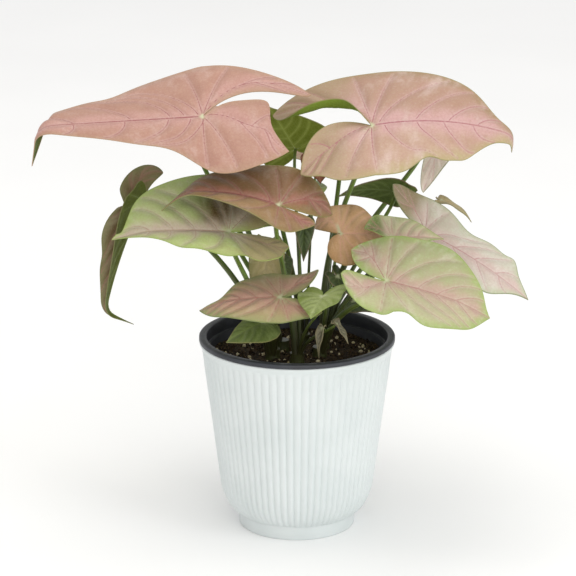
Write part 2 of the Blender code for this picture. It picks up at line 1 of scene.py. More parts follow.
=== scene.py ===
"""Dressed model of a pink arrowhead plant in its nursery pot and its ribbed white cover pot.

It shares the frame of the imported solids: metres, +Z up, the origin under the cover pot's middle and
the front at -Y. Sizes stay in millimetres up to the point where a mesh is shaped.
"""

import logging
import math
from collections.abc import Callable
from dataclasses import dataclass
from enum import Enum
from functools import cache

import bpy
import numpy as np
from bpy.types import Material, Node, NodeSocket, NodeTree, Object
from mathutils import Matrix, Vector, noise


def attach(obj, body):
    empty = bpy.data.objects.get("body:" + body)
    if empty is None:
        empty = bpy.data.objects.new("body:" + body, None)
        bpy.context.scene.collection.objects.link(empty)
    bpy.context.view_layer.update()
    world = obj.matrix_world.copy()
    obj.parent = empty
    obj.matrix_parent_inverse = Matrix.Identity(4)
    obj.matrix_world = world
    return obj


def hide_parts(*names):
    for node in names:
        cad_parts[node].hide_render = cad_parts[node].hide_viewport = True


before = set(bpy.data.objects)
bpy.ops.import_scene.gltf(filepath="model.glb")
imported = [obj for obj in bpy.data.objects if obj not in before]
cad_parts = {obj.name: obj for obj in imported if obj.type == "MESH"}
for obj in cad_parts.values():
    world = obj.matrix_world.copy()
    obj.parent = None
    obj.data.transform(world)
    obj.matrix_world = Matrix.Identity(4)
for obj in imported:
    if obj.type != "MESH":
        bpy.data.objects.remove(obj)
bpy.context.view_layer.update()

Array = np.ndarray
Pair = tuple[float, float]
Place = tuple[float, float, float]
Swells = tuple[tuple[int, float, float, float, float, float], ...]

MM = 0.001
SEAM = 0.01 * MM
BODY = "root"
SOIL_TOP = 117.5
LOBE_SHARE = 0.4
LIP_SHARE = 0.33
HOOK_REACH = 0.16
LEAST_BELLY = 0.16
MARGIN_WAVES = 2.3
SPINE_POINTS = 321
LEAST_CURL = 0.0001
SWELL_END = 0.03
VEIN_VALLEY = 2.9
VEIN_FLOOR = 0.8
NET_WIDTH = 0.13
FAR = 99.0
SMALL_LEAF = 45.0
LEAST_LOBE = 12.0
VEIN_POINTS = 22
MIDRIB_POINTS = 40
MIDRIB_END = 0.985
SWELL_REACH = 9.0
RAMP = "ShaderNodeMapRange"
MATH = "ShaderNodeMath"
SPAN = {"interpolation_type": "SMOOTHSTEP"}
PLUS = {"operation": "MULTIPLY_ADD"}
COLOURS = {"data_type": "RGBA"}
LOG = logging.getLogger("arrowhead_plant")


class Slot(Enum):
    """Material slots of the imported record."""

    PINK = "pink_leaf"
    LIME = "lime_leaf"
    GREEN = "green_leaf"
    WITHERED = "withered_leaf"
    STALK = "stalk"
    POTTING_MIX = "potting_mix"
    NURSERY_POT = "nursery_pot"
    COVER_POT = "cover_pot"


def linear(code: str) -> tuple[float, ...]:
    """Turns an sRGB hex code to the linear colour of a socket.

    Args:
        code: Six hex digits after a hash sign.

    Returns:
        Red, green, blue and an alpha of one.
    """
    shares = [int(code[i : i + 2], 16) / 255 for i in (1, 3, 5)]
    return (*(c / 12.92 if c <= 0.04045 else ((c + 0.055) / 1.055) ** 2.4 for c in shares), 1.0)


def add_node(tree: NodeTree, kind: str, settings: dict | None = None) -> Node:
    """Adds one node with its settings and its incoming links.

    Args:
        tree: Node tree that takes the node.
        kind: Blender's name for the node's type.
        settings: A value, a hex code or a linked socket, by property name or by input.

    Returns:
        The new node.
    """
    node = tree.nodes.new(kind)
    for key, value in (settings or {}).items():
        if isinstance(value, NodeSocket):
            tree.links.new(value, node.inputs[key])
        elif isinstance(key, str) and hasattr(node, key):
            setattr(node, key, value)
        else:
            node.inputs[key].default_value = linear(value) if isinstance(value, str) else value
    return node


class Paint:
    """A node material in the making: its first colour, and the coats that are laid over it."""

    def __init__(self, name: str, colour: str) -> None:
        """Empties the tree and reads the object's own coordinates.

        Args:
            name: Name of the material.
            colour: Hex code of the first colour.
        """
        self.material = bpy.data.materials.new(name)
        self.material.use_nodes = True
        self.tree = self.material.node_tree
        self.tree.nodes.clear()
        self.colour: NodeSocket | str = colour
        self.place = self.value("ShaderNodeTexCoord", {}, "Object")

    def value(self, kind: str, settings: dict, output: int | str = 0) -> NodeSocket:
        """One output of a new node."""
        return add_node(self.tree, kind, settings).outputs[output]

    def lumps(self, size: float, detail: float) -> NodeSocket:
        """Even noise, about 0.5 on average, whose lumps are size mm wide."""
        settings = {"Scale": 1 / (size * MM), "Detail": detail, "Roughness": 0.55}
        return self.value("ShaderNodeTexNoise", settings | {0: self.place})

    def strands(self, scale: Place) -> NodeSocket:
        """Noise drawn out along the piece by its own UV map.

        Args:
            scale: Lumps along the piece, across it, and in depth.

        Returns:
            The noise value's socket.
        """
        mapped = {"Scale": scale, 0: self.value("ShaderNodeUVMap", {"uv_map": "UVMap"})}
        settings = {"Scale": 1.0, "Detail": 3.0, 0: self.value("ShaderNodeMapping", mapped)}
        return self.value("ShaderNodeTexNoise", settings)

    def coat(
        self,
        colour: NodeSocket | str,
        follows: NodeSocket,
        low: float,
        high: float,
        ends: Pair = (0, 1),
        times: NodeSocket | None = None,
    ) -> NodeSocket:
        """Lays a colour over what is there, by a share that runs smoothly with a value.

        Args:
            colour: Socket or hex code of the coat.
            follows: Socket of the value that the share follows.
            low: Value where the share starts.
            high: Value where the share ends.
            ends: The shares there.
            times: Socket of another share, which this one is multiplied by.

        Returns:
            The share's socket.
        """
        span = {0: follows, 1: low, 2: high, 3: ends[0], 4: ends[1]}
        share = self.value(RAMP, SPAN | span)
        if times is not None:
            share = self.value(MATH, {"operation": "MULTIPLY", 0: share, 1: times})
        mixed = {0: share, 6: self.colour, 7: colour}
        self.colour = self.value("ShaderNodeMix", COLOURS | mixed, 2)
        return share

    def finished(
        self,
        settings: dict,
        relief: NodeSocket | None = None,
        depth: float = 0.0,
        strength: float = 1.0,
    ) -> Material:
        """Ends the material with its shader.

        Args:
            settings: Number or socket of the shader's inputs, by name.
            relief: Socket of a relief too fine for the mesh, 0 to 1.
            depth: Height of the full relief, mm.
            strength: How much of it shows.

        Returns:
            The finished material.
        """
        settings = {"Base Color": self.colour, **settings}
        if relief is not None:
            bump = {"Distance": depth * MM, "Strength": strength, "Height": relief}
            settings["Normal"] = self.value("ShaderNodeBump", bump)
        shader = self.value("ShaderNodeBsdfPrincipled", settings)
        add_node(self.tree, "ShaderNodeOutputMaterial", {"Surface": shader})
        return self.material


class BladePaint(Paint):
    """Paint that also reads what a blade's mesh stores: distances in mm, shares of the length."""

    def __init__(self, name: str, colour: str) -> None:
        """Splits the two stored vectors.

        Args:
            name: Name of the material.
            colour: Hex code of the first colour.
        """
        super().__init__(name, colour)
        field = self.value("ShaderNodeAttribute", {"attribute_name": "field"}, "Vector")
        self.flat = self.value("ShaderNodeAttribute", {"attribute_name": "flat"}, "Vector")
        split = "ShaderNodeSeparateXYZ"
        self.vein, self.margin, self.along = add_node(self.tree, split, {0: field}).outputs
        self.forward, self.side, self.main = add_node(self.tree, split, {0: self.flat}).outputs

    def net(self) -> tuple[NodeSocket, NodeSocket]:
        """Net of fine veins in cells about 3 mm wide.

        Returns:
            The sockets of the distance to it, and of 1 on a vein to 0 between.
        """
        cells = {"feature": "DISTANCE_TO_EDGE", "Scale": 0.34, "Vector": self.flat}
        distance = self.value("ShaderNodeTexVoronoi", cells, "Distance")
        return distance, self.value(RAMP, SPAN | {0: distance, 2: NET_WIDTH, 3: 1, 4: 0})


def clear_selection() -> None:
    """Leaves nothing selected, so that an operator acts on the new piece alone."""
    bpy.ops.object.select_all(action="DESELECT")


def activate(*pieces: Object) -> None:
    """Selects pieces alone and makes the first one active.

    Args:
        pieces: The pieces.
    """
    clear_selection()
    for piece in pieces:
        piece.select_set(True)
    bpy.context.view_layer.objects.active = pieces[0]


def edit(piece: Object, *steps: Callable[[], object]) -> None:
    """Takes steps in edit mode with all of a piece selected.

    Args:
        piece: The piece.
        steps: What is called there, in order.
    """
    activate(piece)
    bpy.ops.object.mode_set(mode="EDIT")
    bpy.ops.mesh.select_all(action="SELECT")
    for step in steps:
        step()
    bpy.ops.object.mode_set(mode="OBJECT")


def weld() -> None:
    """Merges the points that share a place."""
    bpy.ops.mesh.remove_doubles(threshold=SEAM)


def finish_with(piece: Object, kind: str, settings: dict) -> None:
    """Adds a modifier to a piece and applies it.

    Args:
        piece: The piece.
        kind: Blender's name for the modifier's type.
        settings: Its settings by name.
    """
    modifier = piece.modifiers.new(kind.lower(), kind)
    for name, value in settings.items():
        setattr(modifier, name, value)
    activate(piece)
    bpy.ops.object.modifier_apply(modifier=modifier.name)


def points_of(piece: Object) -> Array:
    """Reads where a piece's vertices are.

    Args:
        piece: The piece.

    Returns:
        Rows of x, y, z in metres.
    """
    places = np.empty(len(piece.data.vertices) * 3)
    piece.data.vertices.foreach_get("co", places)
    return places.reshape(-1, 3)


def put_points(piece: Object, points: Array) -> None:
    """Moves the vertices of a piece to these places, in metres."""
    piece.data.vertices.foreach_set("co", points.ravel())
    piece.data.update()


def put_attribute(piece: Object, name: str, columns: tuple) -> None:
    """Stores three numbers on each vertex, for the material to read.

    Args:
        piece: The piece.
        name: Name of the attribute.
        columns: An array or one number for each part of it.
    """
    values = np.zeros((len(piece.data.vertices), 3))
    for i, column in enumerate(columns):
        values[:, i] = column
    made = piece.data.attributes.new(name, "FLOAT_VECTOR", "POINT")
    made.data.foreach_set("vector", values.ravel())


def grid_piece(
    name: str, rows: int, columns: int, place: Callable[[Array, Array], Array]
) -> tuple[Object, Array, Array]:
    """Adds a grid primitive and draws its points into shape.

    Args:
        name: Name of the piece.
        rows: Faces along it.
        columns: Faces across it.
        place: Gives the points, mm, for the shares along and across.

    Returns:
        The piece, and each vertex's shares along and across.
    """
    clear_selection()
    bpy.ops.mesh.primitive_grid_add(x_subdivisions=rows, y_subdivisions=columns, size=1.0)
    piece = bpy.context.object
    piece.name = piece.data.name = name
    flat = points_of(piece) + 0.5
    along, across = np.clip(flat[:, 0], 0, 1), np.clip(flat[:, 1], 0, 1)
    put_points(piece, place(along, across) * MM)
    return piece, along, across


def join(pieces: list[Object]) -> Object:
    """Joins pieces into the first of them.

    Args:
        pieces: The pieces.

    Returns:
        The joined piece.
    """
    activate(*pieces)
    bpy.ops.object.join()
    return pieces[0]


def hand_over(piece: Object, name: str, angle: float, node: str) -> None:
    """Names and shades a finished piece, which then rides on the body and stands for its CAD node.

    Args:
        piece: The finished piece.
        name: Its name.
        angle: Angle between faces up to which it is shaded smooth, degrees.
        node: CAD node that it stands for.
    """
    piece.name = piece.data.name = name
    activate(piece)
    bpy.ops.object.shade_smooth_by_angle(angle=math.radians(angle))
    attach(piece, BODY)
    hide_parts(node)
    LOG.info("%s: %d faces, for %s", piece.name, len(piece.data.polygons), node)


def bezier(points: tuple, k: Array) -> Array:
    """Point on the cubic curve through four control points, for shares from 0 to 1."""
    a, b, c, d = (np.array(p, float)[:, None] for p in points)
    return a * (1 - k) ** 3 + 3 * b * k * (1 - k) ** 2 + 3 * c * k**2 * (1 - k) + d * k**3


def smooth(x: Array) -> Array:
    """0 below 0, 1 above 1, and an even S between."""
    x = np.clip(x, 0.0, 1.0)
    return x * x * (3 - 2 * x)


def unit(rows: Array) -> Array:
    """Rows scaled to a length of one."""
    return rows / np.maximum(np.linalg.norm(rows, axis=-1, keepdims=True), 1e-9)


def of_half(pair: Pair, side: int) -> float:
    """The left or the right one of a pair, for a side of 1 or -1."""
    return pair[0 if side > 0 else 1]


def arc(angle: Array, curl: Array, width: Array) -> tuple[Array, Array]:
    """Follows a line that turns evenly.

    Args:
        angle: Angle that it starts at, radians.
        curl: Angle that it turns by, radians.
        width: Its length, mm.

    Returns:
        How far it goes out, and how far it rises, mm.
    """
    curl = np.where(np.abs(curl) < LEAST_CURL, LEAST_CURL, curl)
    out = width * (np.sin(angle + curl) - np.sin(angle)) / curl
    rise = width * (np.cos(angle) - np.cos(angle + curl)) / curl
    return out, rise


def swells_on(swells: Swells, s: Array, side: int) -> list[tuple[Array, float, float, float]]:
    """Finds what the swells of one half do to its edge.

    Args:
        swells: Rows of side, share, width, along, out and up.
        s: Shares from the basal lobe's tip to the leaf's tip.
        side: 1 for the left half and -1 for the right one.

    Returns:
        For each swell its share at s, and its full push along, out and up in mm.
    """
    ends = smooth(s / SWELL_END) * smooth((1 - s) / SWELL_END)
    return [
        (np.exp(-(((s - at) / width) ** 2)) * ends, along, out, up)
        for where, at, width, along, out, up in swells
        if where == side
    ]


def swept_tube(
    name: str,
    centres: Array,
    frames: tuple[Array, Array],
    widths: Array,
    heights: Array,
    sides: int,
) -> tuple[Object, Array, Array]:
    """Wraps a grid into a tube round a line.

    Args:
        name: Name of the piece.
        centres: Points of the line, mm.
        frames: Unit rows that point across the tube, and that point up from it.
        widths: Half widths, mm.
        heights: Half heights, mm.
        sides: Faces round the tube.

    Returns:
        The piece, and each vertex's ring number and turn round the line.
    """
    last = len(centres) - 1
    across, upward = frames

    def place(along: Array, around: Array) -> Array:
        """Gives the points of the rings.

        Args:
            along: Shares along the line.
            around: Shares of a turn round it.

        Returns:
            Rows of x, y, z, mm.
        """
        i = np.rint(along * last).astype(int)
        turn = math.tau * around
        side = across[i] * (widths[i] * np.cos(turn))[:, None]
        return centres[i] + side + upward[i] * (heights[i] * np.sin(turn))[:, None]

    piece, along, around = grid_piece(name, last, sides, place)
    return piece, np.rint(along * last).astype(int), around


def carried_frame(headings: Array) -> tuple[Array, Array]:
    """Turns a frame as little as a line's headings allow.

    Args:
        headings: Rows that point along the line at each of its points.

    Returns:
        Two sets of unit rows square to the line and to each other.
    """
    headings = unit(headings)
    across = np.array(Vector(headings[0]).orthogonal().normalized())
    rows = []
    for heading in headings:
        across = across - across.dot(heading) * heading
        across = across / np.linalg.norm(across)
        rows.append(across)
    return np.array(rows), np.cross(headings, np.array(rows))


# Finishes


@dataclass(frozen=True)
class LeafFinish:
    """Living leaf blade: a waxy skin with pink pigment over green, told by its colours.

    left and right are the two halves, heart what lines the midrib and the lobes' main veins, and
    rim what lies within rim_reach of the margin, in mm, or rim_right on the right half. patch comes
    in blotches, pale in streaks of painted sheen from the midrib to the margin, tip beyond tip_from
    of the length, and lobe behind the stalk. under is the matt underside, green with raised lighter
    veins. hub is the pale skin where the stalk arrives. patches, streaks, halo and flush are shares;
    streaks is how strong the painted sheen is.
    """

    slot: Slot
    left: str
    right: str
    heart: str
    rim: str
    tip: str
    vein: str
    patch: str
    pale: str
    edge: str = "#8A8350"
    under: str = "#48541C"
    under_vein: str = "#6E7A3C"
    heart_reach: float = 12.0
    rim_reach: float = 8.0
    tip_from: float = 0.75
    patches: float = 0.5
    streaks: float = 0.4
    halo: float = 0.5
    flush: float = 0.3
    lobe: str = ""
    rim_right: str = ""
    hub: str = "#C6CBA4"
    vein_foot: str = "#B9BE93"

    def upper(self, name: str) -> Material:
        """Paints the upper face: satin wax over the pigment with a soft wide sheen, and pale streaks
        of painted sheen.

        Args:
            name: Name of the leaf's finish.

        Returns:
            The material.
        """
        paint = BladePaint(f"{name}_upper", self.right)
        blotch, grain = paint.lumps(19.0, 3.0), paint.lumps(1.4, 3.0)
        strand = paint.strands((22.0, 1.8, 1.0))
        distance, net = paint.net()
        # Blotches and strands make the borders of the halves, the tip, heart and rim uneven.
        sway = paint.value(MATH, PLUS | {0: blotch, 1: 14.0, 2: paint.side})
        beyond = paint.value(MATH, PLUS | {0: strand, 1: 0.18, 2: paint.along})
        reach = paint.value(MATH, PLUS | {0: strand, 1: self.heart_reach, 2: paint.main})
        near = paint.value(MATH, PLUS | {0: blotch, 1: self.rim_reach, 2: paint.margin})
        # On one look the right half's colour is painted shade, for a far half that lies in shadow.
        leftness = paint.coat(self.left, sway, 4.0, 10.0)
        paint.coat(self.patch, blotch, 0.46, 0.66, (0, self.patches))
        paint.coat(self.tip, beyond, self.tip_from + 0.09, self.tip_from + 0.36)
        paint.coat(self.heart, reach, 0.5 * self.heart_reach, 1.5 * self.heart_reach, (1, 0))
        paint.coat(self.heart, paint.vein, 0.3, 5.0, (self.flush, 0))
        rims = {0: leftness, 6: self.rim_right or self.rim, 7: self.rim}
        rim = paint.value("ShaderNodeMix", COLOURS | rims, 2)
        paint.coat(rim, near, 0.3 * self.rim_reach, 1.5 * self.rim_reach, (1, 0))
        # Pale streaks of painted sheen, which fade where the blotches are strong, and pale flanks of
        # the veins.
        sheen_fading = paint.value(RAMP, SPAN | {0: blotch, 1: 0.56, 2: 0.4})
        paint.coat(self.pale, strand, 0.46, 0.72, (0, self.streaks), sheen_fading)
        paint.coat(self.pale, paint.vein, 0.7, 2.0, (0.22, 0))
        if self.lobe:
            paint.coat(self.lobe, paint.along, -0.24, -0.06, (0.85, 0))
        paint.coat(self.vein, paint.vein, 0.2, 1.0, (self.halo, 0))
        paint.coat(self.vein, distance, 0.0, NET_WIDTH, (0.16, 0))
        # Fine mottling, the pale hub and the coloured line along the margin.
        paint.coat(self.patch, grain, 0.5, 0.72, (0, 0.3))
        paint.coat(self.pale, grain, 0.46, 0.28, (0, 0.14))
        ahead = paint.value(MATH, {"operation": "ABSOLUTE", 0: paint.forward})
        around = paint.value(MATH, PLUS | {0: ahead, 1: 1.0, 2: paint.main})
        paint.coat(self.hub, around, 0.8, 3.6, (0.85, 0))
        paint.coat(self.edge, paint.margin, 0.25, 0.8, (0.8, 0))
        rough = paint.value(RAMP, SPAN | {0: grain, 1: 0.3, 2: 0.7, 3: 0.42, 4: 0.54})
        valley = paint.value(RAMP, SPAN | {0: paint.vein, 2: 2.8})
        relief = paint.value(MATH, PLUS | {0: net, 1: -0.5, 2: grain})
        relief = paint.value(MATH, PLUS | {0: relief, 1: 0.2, 2: valley})
        return paint.finished({"Roughness": rough, "IOR": 1.45}, relief, 0.8, 0.6)

    def lower(self, name: str) -> Material:
        """Paints the underside: matt green with a paler net of veins.

        Args:
            name: Name of the leaf's finish.

        Returns:
            The material.
        """
        paint = BladePaint(f"{name}_lower", self.under)
        blotch = paint.lumps(14.0, 3.0)
        distance, net = paint.net()
        paint.coat(self.under_vein, blotch, 0.35, 0.7, (0, 0.3))
        paint.coat(self.under_vein, paint.vein, 0.2, 1.8, (0.6, 0))
        paint.coat(self.under_vein, distance, 0.0, NET_WIDTH, (0.22, 0))
        paint.coat(self.edge, paint.margin, 0.35, 0.9, (1, 0))
        relief = paint.value(MATH, PLUS | {0: net, 1: 1.0, 2: blotch})
        skin = {"Roughness": 0.62, "IOR": 1.42, "Specular IOR Level": 0.2}
        return paint.finished(skin, relief, 0.2, 0.5)

    def veins(self, name: str) -> Material:
        """Paints the veins: slim ridges, pigmented above, green beneath, and pale at the stalk.

        Args:
            name: Name of the leaf's finish.

        Returns:
            The material.
        """
        paint = BladePaint(f"{name}_veins", self.under_vein)
        above = paint.coat(self.vein, paint.side, -0.2, 0.2)
        paint.coat(self.vein_foot, paint.vein, 0.8, 3.6, (0.9, 0))
        paint.coat(self.left, paint.along, 0.3, 1.0, (0, 0.6), above)
        paint.coat(self.pale, paint.lumps(2.0, 2.0), 0.45, 0.75, (0, 0.35))
        return paint.finished({"Roughness": 0.45, "IOR": 1.45})


@dataclass(frozen=True)
class StalkFinish:
    """Leaf stalk: smooth fleshy green skin, darker and streaked low down."""

    low: str = "#485823"
    high: str = "#6F8A38"
    dark: str = "#463F22"
    light: str = "#7C9048"
    brown: str = "#2E2A18"
    foot: float = 124.0
    foot_fade: float = 28.0

    def material(self) -> Material:
        """Green that lightens up the stalk from a brown foot, with long streaks along it.

        Returns:
            The material.
        """
        paint = Paint("arrowhead_stalk_skin", self.low)
        uv = paint.value("ShaderNodeUVMap", {"uv_map": "UVMap"})
        strand = paint.strands((2.5, 9.0, 1.0))
        paint.coat(self.high, paint.value("ShaderNodeSeparateXYZ", {0: uv}), 0.1, 0.85)
        paint.coat(self.dark, strand, 0.42, 0.6, (0, 0.7))
        paint.coat(self.light, strand, 0.56, 0.74, (0, 0.45))
        height = paint.value("ShaderNodeSeparateXYZ", {0: paint.place}, 2)
        paint.coat(self.brown, height, self.foot * MM, (self.foot + self.foot_fade) * MM, (0.85, 0))
        return paint.finished({"Roughness": 0.4, "IOR": 1.45}, strand, 0.25, 0.5)


@dataclass(frozen=True)
class MouldedPlastic:
    """Injection-moulded polypropylene: even colour with faint flow clouds and a fine skin."""

    name: str
    colour: str
    cloud: str
    roughness: Pair
    cloud_size: float
    skin: float

    def material(self) -> Material:
        """The plastic's gloss varies a little, as on a moulded skin, so highlights break up.

        Returns:
            The material.
        """
        paint = Paint(self.name, self.colour)
        paint.coat(self.cloud, paint.lumps(self.cloud_size, 3.0), 0.35, 0.7)
        skin = paint.lumps(self.skin, 2.0)
        low, high = self.roughness
        rough = paint.value(RAMP, SPAN | {0: skin, 1: 0.3, 2: 0.7, 3: low, 4: high})
        return paint.finished({"Roughness": rough, "IOR": 1.49}, skin, 0.05, 0.35)


@dataclass(frozen=True)
class GrainFinish:
    """Loose matter, such as peat or perlite: dull, with strong specks of two colours."""

    name: str
    dark: str
    light: str
    speck: str
    size: float
    specks: float
    relief: float

    def material(self) -> Material:
        """Rough matter that scatters light, with no gloss at all.

        Returns:
            The material.
        """
        paint = Paint(self.name, self.dark)
        coarse, fine = paint.lumps(self.size, 4.0), paint.lumps(self.size / 3, 3.0)
        paint.coat(self.light, coarse, 0.35, 0.65)
        paint.coat(self.speck, fine, 0.6, 0.72, (0, self.specks))
        relief = paint.value(MATH, PLUS | {0: fine, 1: 1.0, 2: coarse})
        matter = {"Roughness": 0.92, "Specular IOR Level": 0.25}
        return paint.finished(matter, relief, self.relief, 0.9)


class Look(Enum):
    """Leaf finishes, named for what they show."""

    SALMON = LeafFinish(
        Slot.PINK, "#B18775", "#B28875", "#BE9288", "#AD8A72", "#A87569", "#98595A", "#A57A6A",
        "#D2B8AF", edge="#A98A6C", tip_from=0.7, streaks=0.3, under="#4C561A",
    )
    ROSE = LeafFinish(
        Slot.PINK, "#AC8B76", "#BA9B86", "#C8A09C", "#9A825C", "#B4928A", "#A4646C", "#AA856F",
        "#D6C0B8", edge="#8F8A58", rim_reach=11.0, tip_from=0.85, streaks=0.5, heart_reach=15.0,
        lobe="#A79070", rim_right="#AEA070", under="#697B27", under_vein="#7E9440",
    )
    TAUPE = LeafFinish(
        Slot.PINK, "#967850", "#826344", "#9E6A5A", "#86703E", "#7E7138", "#93504E", "#755A3A",
        "#AA9684", heart_reach=7.0, tip_from=0.6, flush=0.15,
    )
    # Lime leaf whose right half, the far one, is dark brown as painted shade from the leaf above.
    LIME_BRONZE = LeafFinish(
        Slot.LIME, "#B6C47C", "#5A4520", "#BCAA98", "#A9BD6C", "#ACB97A", "#A68272", "#A39C6A",
        "#CFCBB4", edge="#8FA250", heart_reach=12.0, tip_from=0.1, streaks=0.3, lobe="#A8986C",
        halo=0.35,
    )
    OLIVE_BRONZE = LeafFinish(
        Slot.PINK, "#6B6640", "#6B5A3A", "#8A6A52", "#7B7A4E", "#4B5A2A", "#9A6E60", "#6A6240",
        "#8A8560", edge="#6F7340", heart_reach=5.0, lobe="#7A6E50", under="#545B23",
    )
    ROSE_GREEN = LeafFinish(
        Slot.PINK, "#B29C76", "#A89474", "#BC9182", "#909A60", "#87935A", "#A86A62", "#9F8E64",
        "#C8B69A", edge="#76824A", rim_reach=11.0, tip_from=0.6, heart_reach=14.0,
    )
    LIME_ROSE = LeafFinish(
        Slot.LIME, "#A4A97A", "#B3B488", "#BC9E90", "#98AE60", "#A9B07C", "#A6706C", "#ABA486",
        "#D2CEB8", edge="#93A45C", rim_reach=9.0, heart_reach=13.0, streaks=0.4, tip_from=0.85,
    )
    SHELL = LeafFinish(
        Slot.PINK, "#C8C6B4", "#CEC6B8", "#CCB5AC", "#B6BE9C", "#8E9570", "#B68684", "#BEB0A0",
        "#E0D8D2", edge="#6E7A48", heart_reach=12.0, streaks=0.5, tip_from=0.86, rim_reach=7.0,
        lobe="#877850",
    )
    COPPER = LeafFinish(
        Slot.PINK, "#C8A276", "#C2986A", "#D6A684", "#B08A5C", "#B08A5C", "#D8A08C", "#A67E50",
        "#DEBE9C", edge="#9A7C4A", heart_reach=9.0,
    )
    FERN = LeafFinish(
        Slot.GREEN, "#53622E", "#4E5D29", "#627234", "#68763E", "#5E7034", "#7E8C4C", "#4E5E28",
        "#92A264", edge="#8C8A56", under="#6B7523", under_vein="#95A04E",
    )
    # The leaves' own dark green, darkened further as painted shade, for leaves deep in the shade of
    # others.
    BOTTLE = LeafFinish(
        Slot.GREEN, "#3A461C", "#354018", "#3C4A24", "#4A5430", "#3A4824", "#5C6A3A", "#2A3618",
        "#56634A", edge="#7A6C50", under="#475523", under_vein="#66743C",
    )
    WITHERED = LeafFinish(
        Slot.WITHERED, "#6A644C", "#524C38", "#565238", "#8A846A", "#5E543C", "#4A4430", "#3E3826",
        "#B4AE96", edge="#8A8060", under="#B0AA92", under_vein="#867E62",
    )
    LIME = LeafFinish(
        Slot.LIME, "#808F43", "#76853C", "#929F5C", "#7C8C42", "#8C9A52", "#9CA86A", "#74823E",
        "#C4CC9C", edge="#86984C", under="#66782C", under_vein="#94A458",
    )
    OLIVE = LeafFinish(
        Slot.GREEN, "#AEA06A", "#A69A60", "#B6A474", "#8C8654", "#8C8654", "#B0A078", "#8A7E50",
        "#B6AC84", edge="#7A7448",
    )
    # Reddish brown that is painted shade on a pink leaf whose upper face lies in shadow behind
    # others.
    RUSSET = LeafFinish(
        Slot.PINK, "#A86850", "#9C5C42", "#B07258", "#7A4A30", "#7A4A30", "#A86A56", "#6E3A28",
        "#A06E58", edge="#6A4028", under="#6A3C28", under_vein="#8A5A44",
    )
    PALE_BACK = LeafFinish(
        Slot.PINK, "#FAEAE4", "#FBECE6", "#F8DCD8", "#F0E2D4", "#F6E4DA", "#DCAEAC", "#EED8CE",
        "#F6ECE8", edge="#8A8A62", heart_reach=12.0, under="#DCC8BE", under_vein="#C8A8A0",
    )
    LIME_ROLL = LeafFinish(
        Slot.LIME, "#BCBC92", "#C8BCA0", "#C8AC9C", "#B4BC84", "#B8B690", "#BC8C84", "#B8B292",
        "#DCD4BE", edge="#93A45C", heart_reach=8.0, lobe="#5E7A30", under="#4C641C",
    )

WHITE_PLASTIC = MouldedPlastic(
    "moulded_white_polypropylene", "#D6DCDC", "#D0D7D7", (0.34, 0.44), 40.0, 1.2
)
BLACK_PLASTIC = MouldedPlastic(
    "moulded_black_polypropylene", "#2C2E34", "#363940", (0.38, 0.52), 15.0, 0.9
)
PEAT = GrainFinish("coarse_peat", "#17120C", "#463624", "#A58A5E", 2.6, 0.8, 0.9)
PERLITE = GrainFinish("expanded_perlite", "#B8AB88", "#DCD2B4", "#8C7C56", 1.2, 0.5, 0.3)
STALK_SKIN = StalkFinish()


@cache
def leaf_materials(look: Look) -> tuple[Material, Material, Material]:
    """Materials of a finish's upper face, lower face and veins, made once."""
    name = f"arrowhead_leaf_{look.name.lower()}"
    return look.value.upper(name), look.value.lower(name), look.value.veins(name)


# Foliage


@dataclass(frozen=True)
class Venation:
    """How the veins of a blade run and stand out. Widths are in mm, and the rest are shares."""

    side_width: float = 0.3
    side_reach: float = 0.93
    side_sweep: float = 0.33
    side_bend: float = 1.35
    stray: float = 0.02
    cross_ends: Pair = (0.45, 0.34)
    cross_bend: float = 0.95
    cross_width: float = 0.28
    lobe_reach: float = 0.36
    lobe_width: float = 0.36
    branches: tuple[Pair, ...] = ((0.3, 0.92), (0.55, 0.9), (0.42, 0.1))
    branch_sweep: float = 0.11
    branch_width: float = 0.2
    midrib_width: float = 0.52
    least_width: float = 0.06
    blunt: float = 0.7
    sunk: float = 0.1
    proud: float = 0.02
    sides: int = 8


VEINS = Venation()


